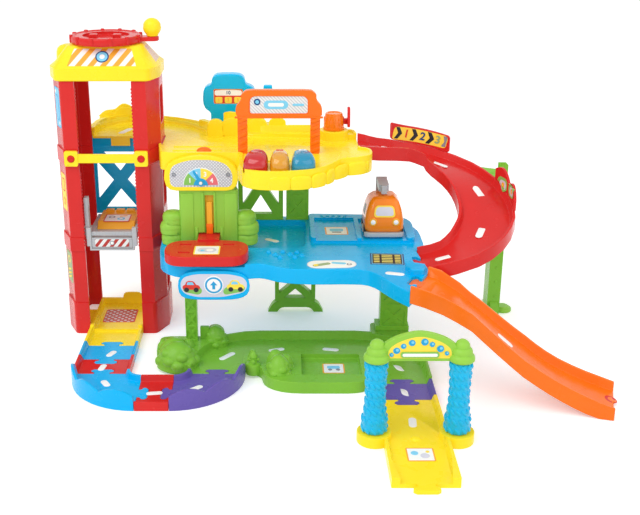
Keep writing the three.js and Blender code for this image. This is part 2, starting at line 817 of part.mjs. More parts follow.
// Green base, as shares of the lane from the spot where its lane starts
const platformShares = [
  [-0.05, 1.22], [-1.09, 1.22, 0.15], [-1.09, 0.3, 0.25], [-0.78, 0.06, 0.2], [-0.45, 0.06],
];
const islandShares = [
  [0.45, 0.52], [0.45, 0.16, 0.17], [0.78, -0.02, 0.12], [0.82, -0.37, 0.32], [1.17, -0.62, 0.32],
  [2.45, -0.62, 0.2], [2.66, -0.44, 0.15], [2.66, -0.37], [2.72, -0.37], [2.72, 0.52],
];
const trayCutShares = [1.47, 2.5, -0.32, 0.54];
const pillarPadShares = [[2.8, 1.2], [3.5, 1.2, 0.1], [3.5, 1.84, 0.1], [2.8, 1.84, 0.1]];
const baseRiseShare = 0.21;
const trayFloorShare = 0.09;
const bushShares = [
  [-0.78, 0.53, 0.29, 0.5], [-0.98, 0.74, 0.14, 0.38], [-0.56, 0.8, 0.13, 0.36],
  [-0.1, 1.36, 0.2, 0.38], [1.02, 0.06, 0.17, 0.5], [1.2, 0, 0.14, 0.44],
];
const slabShares = [-0.36, -0.2, 1.12, 1.2, 0.1, 0.44];
const hydrantShares = [[0, 0.1], [0.1, 0.1], [0.1, 0.24], [0.07, 0.32], [0.04, 0.38], [0, 0.39]];
const hydrantPlaceShares = [0.625, 0.28];

function baseWay() {
  return chainWay([
    lineWay(baseStart, trackTurn, north, baseStub),
    arcWay(baseStart + bendRadius, baseBend, bendRadius, west, north),
    lineWay(baseStart + bendRadius, baseBend + bendRadius, east, baseRun),
    arcWay(baseRight, baseBend, bendRadius, north, east),
    lineWay(washCentre, baseBend, south, baseEnd),
  ]);
}

function buildGreenBase() {
  const top = lane * baseRiseShare;
  const steps = 28;
  const place = (body) => move(body, baseStart, trackTurn);
  const [trayLeft, trayRight, trayFront, trayBack] = trayCutShares.map((share) => share * lane);
  const tray = box(trayLeft, trayRight, trayFront, trayBack, lane * trayFloorShare, top + overrun);
  const land = join(
    plate(spread(platformShares), 0, top),
    plate(spread(islandShares), 0, top),
    plate(spread(pillarPadShares), 0, top),
  );
  const [hydrantX, hydrantY] = hydrantPlaceShares.map((share) => share * lane);
  const growths = [
    ...spread(bushShares).map(([x, y, reach, high]) => dome(x, y, reach, floorRise, high)),
    block(slabShares),
    turned(spread(hydrantShares), hydrantX, hydrantY, 12),
  ];
  const road = sweep(channel(top, top), steps, baseWay());
  const open = sweep(hollow(lane), steps, baseWay());
  const flat = cut(join(cut(place(land), open), road), place(tray));
  const body = cut(join(flat, growths.map(place)), open);
  trackPiece('green_base', body, [],
    [[baseStart, trackTurn, north], [washCentre, baseFront, north]], 'green');
}

// Decks

const blueDeckShares = [
  [0.9, 0.36, 0.1], [0.97, -1.675, 0.325], [1.325, -2.04, 0.3], [1.875, -2.1, 0.5], [2.55, -2.1, 0.225],
  [2.775, -2.02, 0.225], [3.1, -2.275, 0.325], [3.625, -2.35, 0.625], [4.31, -2.325, 0.375],
  [4.65, -2.375, 0.3], [4.925, -2.95, 0.3], [5.18, -3.321], [5.616, -2.408], [5.523, -1.4],
  [5.7, -1.2, 0.225], [5.7, -0.15, 0.45], [5.3, 0.4, 0.375], [3.9, 0.54, 0.25], [2.1, 0.54, 0.25],
  [1.4, 0.4, 0.2],
];
// The sunken lane, the raised bays, the bays' walls and the pads over the pillars
const sunkShares = [[2.25, 0.3, 0.1], [2.25, -1.25, 0.35], [3.55, -1.25, 0.2], [3.6, 0.3, 0.2]];
const sunkDepthShare = 0.0625;
const bayShares = [
  [3.65, -1.02, 0.12], [5.55, -1.02, 0.12], [5.6, 0.05, 0.3], [5.25, 0.33, 0.3], [3.65, 0.42, 0.1],
];
const bayRiseShare = 0.1;
const bayCutShares = [[3.75, 4.5, -1.2, 0.15], [4.58, 5.41, -1.2, 0.1]];
const wedgeShares = [[5.22, -2.2, 0.06], [5.56, -2.3, 0.06], [5.5, -2.62, 0.06], [5.28, -2.6, 0.06]];
const wedgeRiseShare = 0.1;
const pebbleShares = [
  [2.9, -1.5, 0.05], [3.02, -1.62, 0.06], [3.15, -1.48, 0.05], [3.28, -1.6, 0.07], [3.4, -1.5, 0.05],
  [3.1, -1.76, 0.05], [3.36, -1.76, 0.05], [3.48, -1.66, 0.06],
];
const pebbleRiseShare = 0.05;
const padSpanShares = [
  [1.36, 1.63, -1.54, -1.32], [4.93, 5.5, -1.06, -0.76], [2.95, 3.85, 0.26, 0.48],
];

function towerKeepOut(low, high) {
  const side = plate(offset(towerSide, -(collarProud + gap)), low, high);
  const shaftBack = lane * basinLipShares[3] + turningGap;
  const shaft = box(-columnInner, columnInner, -towerDepth, shaftBack, low, high);
  return join(side, side.mirror([1, 0, 0]), shaft);
}

function hollowDeck(points, skirt, table, ceiling) {
  return cut(plate(points, skirt, table), plate(offset(points, shell), skirt - overrun, ceiling));
}

function buildBlueDeck() {
  const points = spread(blueDeckShares);
  const ceiling = levelOne - lane * sunkDepthShare - shell;
  const [redEnd] = redRampSpots().slice(-1);
  const [slideStart] = slideSpots();
  const notches = [[...redEnd.slice(0, 2), west - redEndTurn], [...slideStart.slice(0, 2), west + slideTurn]];
  const raised = plate(spread(bayShares), levelOne - shell, tableOne + lane * bayRiseShare);
  const bays = bayCutShares.map((bay) => block([...bay, 0, 1], tableOne + lane * bayRiseShare / 2));
  const pads = padSpanShares.map((pad) => {
    const [left, right, front, back] = pad.map((share) => share * lane);
    return box(left, right, front, back, skirtOne, levelOne - shell);
  });
  const body = join(hollowDeck(points, skirtOne, tableOne, ceiling), pads);
  const sunk = plate(spread(sunkShares), levelOne - lane * sunkDepthShare, tableOne + overrun);
  const grown = join(
    cut(body, sunk),
    cut(raised, bays),
    plate(spread(wedgeShares), levelOne - shell, tableOne + lane * wedgeRiseShare),
    pebbleShares.map(([x, y, reach]) => (
      dome(x * lane, y * lane, reach * lane, levelOne, tableOne + lane * pebbleRiseShare, 8)
    )),
  );
  const weighPocket = plate(offset(weighTrayOutline(), -turningGap), levelOne, tableOne + overrun, 5);
  piece('blue_deck', cut(
    grown,
    weighPocket,
    towerKeepOut(skirtOne - overrun, tableOne + lane),
    notches.map(([x, y, heading]) => notch(x, y, heading, skirtOne - overrun, tableOne + overrun)),
  ), 'blue');
}

const yellowDeckShares = [
  [-0.55, 0.6], [-0.55, 1.525, 0.375], [-0.125, 1.9, 0.325], [0.75, 1.9, 0.55], [1.4, 1.525, 0.375],
  [1.975, 0.8, 0.5], [2.5, 0.713, 0.375], [4.525, 0.7, 0.125], [4.54, 0.375], [4.54, -0.62],
  [4.725, -0.725, 0.175], [4.725, -1.175, 0.225], [4.4, -1.375, 0.125], [4.162, -1.4, 0.1],
  [4.025, -1.675, 0.25], [3.75, -2.1, 0.275], [3.275, -2.263, 0.325], [2.8, -2.288, 0.325],
  [2.46, -2.1, 0.225], [2.4, -1.55, 0.2], [2.4, -1.04, 0.1], [1.25, -1.04, 0.075],
  [1, -1.025, 0.1], [0.9, -0.4], [0.6, 0.3],
];
const yellowLaneShares = [
  [-0.45, 0.5], [-0.45, 1.35, 0.325], [-0.075, 1.8, 0.325], [0.725, 1.8, 0.525],
  [1.3, 1.45, 0.375], [1.875, 0.65, 0.575], [3, 0.525, 0.75], [4.75, 0.375], [4.75, -0.588],
  [3, -0.35, 0.75], [1.875, -0.275, 0.625], [1.3, 0.425, 0.5], [0.975, 0.9, 0.25],
  [0.575, 0.925, 0.125], [0.45, 0.8], [0.45, 0.5],
];
const landingWallShares = [
  [-0.55, 0.74], [-0.55, 1.525, 0.375], [-0.125, 1.9, 0.325], [0.6, 1.9], [0.6, 1.8], [-0.09, 1.8, 0.325],
  [-0.45, 1.48, 0.375], [-0.45, 0.74],
];
const landingRiseShare = 0.06;
const humpShares = [
  [-0.55, 0], [0.22, 0], [0.2, 0.14, 0.1], [-0.04, 0.29, 0.16], [-0.22, 0.13, 0.06], [-0.42, 0.12, 0.08],
];
const humpSpanShares = [1.8, 1.88];
const lipTabShares = [-0.13, 0.23, 0.64, 0.66, -0.19, -0.02];
const backWallShares = [
  [1.62, 1.22], [1.975, 0.8, 0.4], [2.5, 0.713, 0.375], [3.7, 0.7], [3.7, 0.6], [2.5, 0.62, 0.3],
  [1.9, 0.7, 0.4], [1.52, 1.15],
];
const backWallRiseShare = 0.12;
const crestShares = [[1.8, 0.17, 0.2], [2.16, 0.19, 0.26], [2.6, 0.18, 0.22], [3.05, 0.16, 0.14]];
const crestSpanShares = [0.63, 0.7];
const pumpShelfShares = [
  [1.75, 0.9], [2.9, 0.66], [3.1, 1.0, 0.1], [3.1, 1.48, 0.1], [1.66, 1.48, 0.1], [1.66, 1.1],
];
const dishShares = [3.7, 0.0, 0.2];
const dishDepth = 1;
const stopPlaceShares = [4.11, 0.42];
const stopPadShare = 0.27;
const soundUnitShares = [2.55, 3.7, -1.95, -1.3];
const batteryShares = [2.75, 3.5, -1.82, -1.42];
const unitThick = 10;
const coverThick = 2;

function buildYellowDeck() {
  const points = spread(yellowDeckShares);
  const ceiling = levelTwo - shell;
  const [landingLow, landingHigh] = [levelTwo, tableTwo + lane * landingRiseShare];
  const [humpFront, humpBack] = humpSpanShares.map((share) => share * lane);
  const hump = spread(humpShares).map(([x, z, corner]) => [x, landingHigh - overrun + z, corner]);
  const [crestFront, crestBack] = crestSpanShares.map((share) => share * lane);
  const wallTop = tableTwo + lane * backWallRiseShare;
  const crests = spread(crestShares).map(([x, half, rise]) => frontPanel([
    [x - half, wallTop - overrun], [x + half, wallTop - overrun],
    [x + half, wallTop + rise, half], [x - half, wallTop + rise, half],
  ], crestFront, crestBack));
  const [stopX, stopY] = stopPlaceShares.map((share) => share * lane);
  const [dishX, dishY, dishReach] = dishShares.map((share) => share * lane);
  const road = plate(spread(yellowLaneShares), levelTwo, towerTop);
  const inside = plate(offset(points, kerbLip), tableTwo, towerTop);
  const kerb = cut(plate(points, tableTwo, tableTwo + kerbRiseDeck), inside);
  const walls = join(
    kerb,
    plate(spread(landingWallShares), landingLow, landingHigh),
    frontPanel(hump, humpFront, humpBack),
    plate(spread(backWallShares), levelTwo, wallTop),
    crests,
  );
  const body = join(
    cut(join(hollowDeck(points, skirtTwo, tableTwo, ceiling), walls), road),
    plate(spread(pumpShelfShares), levelTwo, tableTwo),
    block(lipTabShares, levelTwo),
    rod(stopX, stopY, lane * stopPadShare, levelTwo - shell, levelTwo + stopPad, 24),
  );
  const pans = buttonOutlines().map((outline) => (
    plate(offset(outline, -turningGap / 2), tableTwo - buttonTravel - turningGap, towerTop)
  ));
  const gateHoles = gatePostShares.map((x) => move(gateFoot(tabClearance), x * lane, lane * gateDepthShare));
  const dish = rod(dishX, dishY, dishReach, levelTwo - dishDepth, tableTwo);
  piece('yellow_deck', cut(
    body, pans, dish, gateHoles, towerKeepOut(skirtTwo - overrun, towerTop),
  ), 'yellow');
}

function buildUnderDeck() {
  const [left, right, front, back] = soundUnitShares.map((share) => share * lane);
  const unitTop = levelTwo - shell - gap;
  piece('sound_unit', box(left, right, front, back, unitTop - unitThick, unitTop), 'white');
  const [coverLeft, coverRight, coverFront, coverBack] = batteryShares.map((share) => share * lane);
  const coverTop = unitTop - unitThick - gap;
  const cover = box(coverLeft, coverRight, coverFront, coverBack, coverTop - coverThick, coverTop);
  piece('battery_cover', cover, 'grey');
}

// Ramps: plan as shares of the lane, drop as shares of the height that the ramp loses

const redRampShares = [
  [4.55, -0.1, 1], [4.78, -0.103, 0.985], [5.05, 0.005, 0.954], [5.41, 0.22, 0.885], [5.76, 0.34, 0.8],
  [6.1, 0.28, 0.723], [6.42, 0.08, 0.646], [6.68, -0.25, 0.546], [6.81, -0.65, 0.43], [6.79, -1.12, 0.308],
  [6.55, -1.55, 0.192], [6.24, -1.78, 0.1], [5.911, -1.866, 0.038], [5.58, -1.9, 0],
];
const slideShares = [
  [5.398, -2.871, 1], [5.65, -2.99, 0.975], [6.05, -3.09, 0.867], [6.36, -3.13, 0.74], [6.67, -3.18, 0.6],
  [6.98, -3.24, 0.467], [7.29, -3.31, 0.347], [7.61, -3.37, 0.24], [7.94, -3.43, 0.153], [8.26, -3.5, 0.087],
  [8.58, -3.59, 0.035],
];
const redEndTurn = -0.102;
const slideTurn = -0.441;

function redRampSpots() {
  const drop = levelTwo - levelOne;
  return redRampShares.map(([x, y, up]) => [x * lane, y * lane, levelOne + up * drop]);
}

function slideSpots() {
  return slideShares.map(([x, y, up]) => [x * lane, y * lane, up * levelOne]);
}

// A ramp's section, with its floor at zero, a rim on both sides and a skirt under each
function rampSection(rim, skirt, grow = 0) {
  const half = halfLane + grow;
  const lip = halfLane - kerbLip;
  const toe = lip - kerbSlope;
  const [foot, top] = [-skirt - grow, rim + grow];
  if (grow > 0) return [[-half, foot], [half, foot], [half, top], [-half, top]];
  return [
    [-half, -skirt], [-half + shell, -skirt], [-half + shell, -shell], [half - shell, -shell],
    [half - shell, -skirt], [half, -skirt], [half, rim], [lip, rim], [toe, 0], [-toe, 0], [-lip, rim],
    [-half, rim],
  ];
}

const signShares = { start: 0.185, end: 0.345 };
const cloudShares = { start: 0.505, end: 0.66 };

function partOf(way, { start, end }) {
  return (share) => way(start + (end - start) * share);
}

function buildRamps() {
  const redWay = curveWay(redRampSpots());
  const steps = 22;
  const redBody = sweep(rampSection(rampRim, rampSkirt), steps, redWay);
  const [redX, redY] = redRampSpots()[redRampShares.length - 1];
  piece('red_ramp', join(redBody, tab(redX, redY, west - redEndTurn, levelOne - shell, levelOne)), 'red');

  const foot = rampRim + turningGap;
  const sheet = [
    [halfLane - panelThick, foot], [halfLane, foot], [halfLane, foot + signHeight],
    [halfLane - panelThick, foot + signHeight],
  ];
  piece('number_sign', sweep(sheet, 8, partOf(redWay, signShares)), 'yellow');
  const lobesOf = (side, height, share) => {
    if (height < foot + overrun) return height;
    const valleyShare = 0.6;
    return foot + signHeight * (valleyShare + (1 - valleyShare) * Math.abs(Math.sin(2 * Math.PI * share)));
  };
  piece('cloud_sign', sweep(sheet, 12, partOf(redWay, cloudShares), lobesOf), 'red');

  const slideWay = curveWay(slideSpots());
  const slideBody = sweep(rampSection(slideRim, slideSkirt), 16, slideWay);
  const [slideX, slideY] = slideSpots()[0];
  const slideTab = tab(slideX, slideY, west + slideTurn, levelOne - shell, levelOne);
  piece('orange_ramp', join(slideBody, slideTab), 'orange');

  buildFarPillar(sweep(rampSection(rampRim, rampSkirt, gap), steps, redWay));
}

// The far pillar, as shares of the lane: post, head, feet
const farPostShares = [7.2, 7.45, 0.2, 0.6, 0, 3];
const farHeadShares = [6.7, 7.45, 0.2, 0.6, 2.45, 3];
const farFootShares = [[-0.1, 0, 0], [0.9, 0, 0], [0.62, 0.28, 0.1], [0.18, 0.28, 0.1]];
const farFootSpanShares = [7.25, 7.4];

function buildFarPillar(keepOut) {
  const [footLeft, footRight] = farFootSpanShares.map((share) => share * lane);
  const body = join(
    block(farPostShares),
    block(farHeadShares),
    sidePanel(spread(farFootShares), footLeft, footRight),
  );
  const over = sweep([[-lane, 0], [lane, 0], [lane, lane], [-lane, lane]], 22, curveWay(redRampSpots()));
  piece('far_pillar', cut(body, keepOut, over), 'frame');
}

// Frames and pillars under the decks

// An open frame with crossed bars in a stack of cells
function lattice(left, right, front, back, low, high, cells, depth) {
  const step = (high - low) / cells;
  const holes = [];
  for (let cell = 0; cell < cells; cell += 1) {
    const foot = low + step * cell;
    holes.push(...crossHoles(left, right, foot, foot + step).map((hole) => (
      frontPanel(hole, front - overrun, front + depth)
    )));
  }
  return cut(box(left, right, front, back, low, high), holes);
}

// Left, right, front and back as shares of the lane
const aFrameShares = [2.3, 3.16, 0.3, 0.45];
const latticeShares = [3.22, 3.65, 0.3, 0.45];
const trestleShares = [3, 3.8, 0.28, 0.46];
const trestleFootShares = [
  [2.86, 0], [3.96, 0], [3.86, 0.2, 0.1], [3.7, 0.24], [3.1, 0.24], [2.96, 0.2, 0.1],
];
const trestleArchShares = [[3, -0.1], [3.82, -0.1], [3.72, 0.1, 0.1], [3.1, 0.1, 0.1]];
const leftPillarShares = [1.39, 1.6, -1.53, -1.33];
const rightPillarShares = [4.96, 5.47, -1.04, -0.78];
const rightCollarShares = [4.88, 5.5, -1.08, -0.74, 0, 0.1];
const reliefDepth = 1.5;

function buildFrames() {
  const spans = (shares) => shares.map((share) => share * lane);
  const [aLeft, aRight, aFront, aBack] = spans(aFrameShares);
  const foot = tableOne + gap;
  const head = skirtTwo - gap;
  const aFrame = lattice(aLeft, aRight, aFront, aBack, foot, head, 1, lane);
  piece('a_frame', aFrame, 'frame');
  const [left, right, front, back] = spans(latticeShares);
  piece('lattice_pillar', lattice(left, right, front, back, foot, head, 3, reliefDepth), 'frame');

  const [tLeft, tRight, tFront, tBack] = spans(trestleShares);
  const high = skirtOne - gap;
  const openFrame = lattice(tLeft, tRight, tFront, tBack, lane * trestleFootShares[3][1], high, 2, lane);
  const feet = cut(
    frontPanel(spread(trestleFootShares), tFront, tBack),
    frontPanel(spread(trestleArchShares), tFront - overrun, tBack + overrun),
  );
  piece('trestle', join(openFrame, feet), 'frame');

  const standing = lane * baseRiseShare + gap;
  const [pLeft, pRight, pFront, pBack] = spans(leftPillarShares);
  piece('left_pillar', lattice(pLeft, pRight, pFront, pBack, standing, high, 5, reliefDepth), 'frame');
  const [rLeft, rRight, rFront, rBack] = spans(rightPillarShares);
  const collar = block(rightCollarShares, standing);
  const post = lattice(rLeft, rRight, rFront, rBack, standing, high, 3, reliefDepth);
  piece('right_pillar', join(post, collar), 'frame');
}

// Weigh station

const stationShares = [[1.29, -1.12, 0.08], [2.37, -1.12, 0.08], [2.3, -0.72, 0.1], [1.36, -0.72, 0.1]];
const stationHighShare = 1.03;
const stationSlotShares = [1.76, 1.92, -1.2, -0.98, 0.04, 0.94];
const stationDoorShares = [1.6, 2.06, -1.2, -0.96, 0.02, 0.24];
const stationBushShares = [
  [1.16, 0.2, 0, 0.23], [1.15, 0.21, 0.2, 0.42], [1.18, 0.19, 0.38, 0.6],
  [2.5, 0.2, 0, 0.23], [2.51, 0.21, 0.2, 0.42], [2.48, 0.19, 0.38, 0.6],
];
const stationBushDepthShare = -0.98;
const weighTrayShares = [
  [1.1, -2.23, 0.4], [2.55, -2.23, 0.4], [2.55, -1.36, 0.4], [1.1, -1.36, 0.4],
];
const weighNeckShares = [1.64, 2.02, -1.4, -1.0, 0.1, 0.2];
const weighMarkShares = [[1.35, 1.55, -1.62, -1.56], [2.1, 2.3, -1.62, -1.56], [1.35, 1.55, -2.02, -1.96]];
const weighRodShares = [1.79, 1.89, -1.1, -1.04, 0.206, 0.8];
const dialShares = [
  [1.08, 0, 0.2], [2.35, 0, 0.2], [2.38, 0.46, 0.3], [1.98, 0.64, 0.3], [1.45, 0.64, 0.3], [1.05, 0.46, 0.3],
];
const dialThick = 10;
const dialPivotShares = [1.71, 0.15];
const pointerShares = [[-0.03, -0.05], [0.03, -0.05], [0.022, 0.22], [0, 0.27], [-0.022, 0.22]];
const pointerThick = 1.6;
const pointerPinRadius = 2.4;
const pointerRest = Math.PI / 6;

function weighTrayOutline() {
  return spread(weighTrayShares);
}

function buildWeighStation() {
  const foot = tableOne + gap;
  const top = foot + lane * stationHighShare;
  const bushes = stationBushShares.map(([x, reach, low, high]) => (
    dome(x * lane, lane * stationBushDepthShare, reach * lane, foot + low * lane, foot + high * lane, 12)
  ));
  piece('weigh_station', cut(
    join(plate(spread(stationShares), foot, top), bushes),
    block(stationSlotShares, foot),
    block(stationDoorShares, foot),
  ), 'leaf');

  const trayLow = tableOne + turningGap;
  const trayHigh = trayLow + weighTrayThick;
  const marks = weighMarkShares.map((mark) => block([...mark, 0, 1], trayHigh - reliefDepth));
  const tray = cut(plate(weighTrayOutline(), trayLow, trayHigh, 6), marks);
  piece('weigh_tray', join(tray, block(weighNeckShares, trayLow)), 'red');
  piece('weigh_rod', block(weighRodShares, trayLow), 'orange');

  const dialLow = top + gap;
  const back = lane * stationShares[0][1] + dialThick / 2;
  const front = back - dialThick;
  const dial = frontPanel(spread(dialShares).map(([x, z, r = 0]) => [x, dialLow + z, r]), front, back);
  const pivotX = lane * dialPivotShares[0];
  const pivotZ = dialLow + lane * dialPivotShares[1];
  const pinFront = front - pointerThick - 2 * gap;
  piece('dial_head', join(dial, rodAlongY(pivotX, pivotZ, pointerPinRadius, pinFront, back, 12)), 'yellow');
  const hand = spread(pointerShares).map(([x, z]) => [
    pivotX + x * Math.cos(pointerRest) - z * Math.sin(pointerRest),
    pivotZ + x * Math.sin(pointerRest) + z * Math.cos(pointerRest),
  ]);
  const handBack = front - gap;
  const hub = rodAlongY(pivotX, pivotZ, pointerPinRadius * 2, handBack - pointerThick, handBack, 16);
  const bore = rodAlongY(pivotX, pivotZ, pointerPinRadius + gap, handBack - lane, handBack + overrun, 12);
  piece('dial_pointer', cut(join(frontPanel(hand, handBack - pointerThick, handBack), hub), bore), 'blue');
}

const parkingSignShares = [
  [1.34, 0.06, 0.2], [1.6, 0, 0.2], [2.35, 0, 0.2], [2.58, 0.1, 0.25], [2.58, 0.42, 0.25], [2.3, 0.54, 0.2],
  [1.6, 0.54, 0.2], [1.34, 0.44, 0.25],
];
const parkingSignDropShare = 0.36;

function buildParkingSign() {
  const low = skirtOne - lane * parkingSignDropShare;
  const back = lane * blueDeckShares[4][1] - gap;
  const outline = spread(parkingSignShares).map(([x, z, corner]) => [x, low + z, corner]);
  piece('parking_sign', frontPanel(outline, back - panelThick, back), 'blue');
}

// Things on the yellow deck

const gatePostShares = [2.445, 3.715];
const gateDepthShare = -0.92;
const gateFootShares = [-0.07, 0.07, -0.06, 0.06, -0.04, 0];
const gateOutlineShares = [
  [2.36, 0], [2.53, 0], [2.53, 0.64], [3.63, 0.64], [3.63, 0], [3.8, 0], [3.8, 0.66], [3.83, 0.68],
  [3.83, 0.84, 0.1], [3.73, 0.94, 0.05], [3.73, 1.12, 0.2], [2.43, 1.12, 0.2], [2.43, 0.94, 0.05],
  [2.33, 0.84, 0.1], [2.33, 0.68], [2.36, 0.66],
];
const gatePanelShares = [[2.56, 0.7, 0.05], [3.6, 0.7, 0.05], [3.6, 1.02, 0.12], [2.56, 1.02, 0.12]];

function gateFoot(grow = 0) {
  const [left, right, front, back, low] = gateFootShares.map((share) => share * lane);
  return box(left - grow, right + grow, front - grow, back + grow, tableTwo + low - grow, tableTwo + overrun);
}

function buildGate() {
  const foot = tableTwo + gap;
  const back = lane * (gateDepthShare + gateFootShares[3]);
  const front = lane * (gateDepthShare + gateFootShares[2]);
  const arch = frontPanel(spread(gateOutlineShares).map(([x, z, r = 0]) => [x, foot + z, r]), front, back);
  const panel = spread(gatePanelShares).map(([x, z, r]) => [x, foot + z, r]);
  const pocket = frontPanel(panel, front - overrun, front + reliefDepth);
  const feet = gatePostShares.map((x) => move(gateFoot(), x * lane, lane * gateDepthShare));
  piece('gate_arch', join(cut(arch, pocket), feet), 'orange');
}

// Each button's outline as shares of the lane
const buttonShares = [
  ['button_red', 'red', [[2.44, -2.12, 0.2], [2.9, -2.16, 0.14], [2.9, -1.64, 0.12], [2.58, -1.62, 0.14]]],
  ['button_amber', 'amber', [
    [2.93, -2.16, 0.14], [3.26, -2.16, 0.14], [3.26, -1.66, 0.12], [2.93, -1.66, 0.12],
  ]],
  ['button_blue', 'blue', [[3.29, -2.16, 0.14], [3.74, -2.08, 0.2], [3.6, -1.6, 0.14], [3.29, -1.64, 0.12]]],
];
const buttonLevelShares = [[1, 0], [1, 0.45], [0.92, 0.75], [0.7, 0.94], [0.4, 1]];

function buttonOutlines() {
  return buttonShares.map(([, , outline]) => spread(outline));
}

function buildButtons() {
  const foot = tableTwo - gap;
  buttonShares.forEach(([name, look, outline]) => {
    const levels = buttonLevelShares.map(([scale, up]) => [scale, foot + up * buttonHeight]);
    piece(name, mound(spread(outline), levels), look);
  });
}

const cupShares = [[0, 0], [1, 0], [0.96, 0.35], [0.84, 0.88], [0.74, 1], [0, 1]];
const paddleShares = [[-0.16, 0.05, 0.08], [0.16, 0.05, 0.08], [0.1, 0.42, 0.09], [-0.1, 0.42, 0.09]];
const paddleArmShares = [0.1, 0.29, -0.05, 0.05, 0.1, 0.2];
const paddleSpanShares = [0.25, 0.3];

function buildStop() {
  const [x, y] = stopPlaceShares.map((share) => share * lane);
  const foot = levelTwo + stopPad + turningGap;
  const cup = (grow) => turned(cupShares.map(([reach, up]) => [
    reach === 0 ? 0 : reach * stopRadius + grow, foot + up * stopHeight + (up > 0 ? grow : -grow),
  ]), x, y);
  piece('stop_knob', cup(0), 'orange');
  const [left, right] = paddleSpanShares.map((share) => share * lane);
  const sheet = sidePanel(spread(paddleShares).map(([a, z, r]) => [y + a, foot + z, r]), x + left, x + right);
  const arm = move(block(paddleArmShares, foot), x, y);
  piece('stop_paddle', cut(join(sheet, arm), cup(gap)), 'red');
}

const pumpShares = [
  [-0.34, 0, 0.05], [-0.34, 0.26, 0.05], [-0.49, 0.36, 0.12], [-0.49, 0.74, 0.2], [-0.32, 0.8, 0.05],
  [-0.3, 1.0, 0.2], [0.3, 1.0, 0.2], [0.34, 0.8, 0.05], [0.53, 0.74, 0.2], [0.53, 0.36, 0.12],
  [0.34, 0.26, 0.05], [0.34, 0, 0.05],
];
const pumpPlaceShares = [2.1, 1.13, 1.4];
const pumpScreenShares = [[-0.3, 0.42, 0.03], [0.3, 0.42, 0.03], [0.3, 0.72, 0.03], [-0.3, 0.72, 0.03]];
const nozzleArmShares = [0.3, 0.82, 1.22, 1.3, 0.2, 0.3];
const nozzlePostShares = [0.72, 0.82, 1.21, 1.31, 0.2, 0.72];
const nozzleHeadShares = [0.68, 0.85, 1.19, 1.33, 0.66, 0.77];

function buildPump() {
  const foot = tableTwo + gap;
  const [x, front, back] = pumpPlaceShares.map((share) => share * lane);
  const outline = spread(pumpShares).map(([a, z, r]) => [x + a, foot + z, r]);
  const screen = spread(pumpScreenShares).map(([a, z, r]) => [x + a, foot + z, r]);
  const nozzleParts = [nozzleArmShares, nozzlePostShares, nozzleHeadShares];
  const nozzle = nozzleParts.map((part) => move(block(part, foot), x, 0));
  piece('fuel_pump', join(
    cut(frontPanel(outline, front, back), frontPanel(screen, front - overrun, front + reliefDepth)),
    nozzle,
  ), 'blue');
}

// Car wash

const spindleShare = 0.6375;
const washPlaceShare = 1.19;
const discReachShare = 0.27;
const brushShares = [
  [0.19, 0], [0.212, 0.07], [0.207, 0.18], [0.172, 0.33], [0.16, 0.5], [0.167, 0.75],
  [0.18, 0.93], [0.168, 1],
];
const capShares = [
  [0, 0], [0.185, 0], [0.18, 0.06], [0.165, 0.07], [0.155, 0.14], [0.135, 0.15], [0.12, 0.21],
  [0.105, 0.22], [0.09, 0.28], [0.06, 0.325], [0, 0.34],
];
const archShares = [
  [-0.54, 0], [0.54, 0], [0.54, 0.27, 0.04], [0.4, 0.37, 0.1], [0.21, 0.44, 0.1], [0, 0.48, 0.1],
  [-0.21, 0.44, 0.1], [-0.4, 0.37, 0.1], [-0.54, 0.27, 0.04],
];
const bumpShares = [[0, 0.05], [0.09, 0.05], [0.07, 0.09], [0, 0.1]];
const bumpPlaceShare = 1.24;
const flareShares = [[-0.48, 0], [-0.375, 0], [-0.44, 0.5], [-0.48, 0.5]];

function buildWash() {
  const y = washBack - lane * washPlaceShare;
  const padTop = washPad;
  const brushLow = padTop + turningGap;
  const brushTop = brushLow + brushHeight;
  const spots = [washCentre - lane * spindleShare, washCentre + lane * spindleShare];
  const base = join(
    sweep(channel(kerbRise, kerbRise), 1, lineWay(washCentre, washBack, south, washRun)),
    spots.map((x) => rod(x, y, lane * discReachShare, 0, padTop, 24)),
    spots.map((x) => rod(x, y, spindleRadius, 0, brushTop + turningGap, 12)),
    turned(spread(bumpShares), washCentre, washBack - lane * bumpPlaceShare, 12),
    [1, -1].map((side) => plate(
      spread(flareShares).map(([across, along]) => [washCentre + side * across, washFront + along]),
      floorRise - overrun, kerbRise,
    )),
  );
  trackPiece('wash_base', base, [[washCentre, washFront, south]], [[washCentre, washBack, south]], 'yellow');
  ['brush_left', 'brush_right'].forEach((name, index) => {
    const bore = spindleRadius + gap;
    const outside = brushShares.map(([reach, up]) => [reach * lane, brushLow + up * brushHeight]);
    const profile = [[bore, brushLow], ...outside, [bore, brushTop], [bore, brushLow]];
    piece(name, turned(profile, spots[index], y, 18), 'brush');
  });
  const capLow = brushTop + turningGap + gap;
  const cap = spread(capShares).map(([reach, up]) => [reach, capLow + up]);
  const caps = spots.map((x) => turned(cap, x, y, 18));
  const arch = spread(archShares).map(([x, z, r = 0]) => [washCentre + x, capLow + z, r]);
  piece('wash_arch', join(frontPanel(arch, y - panelThick, y + panelThick), caps), 'green');
}

// Truck

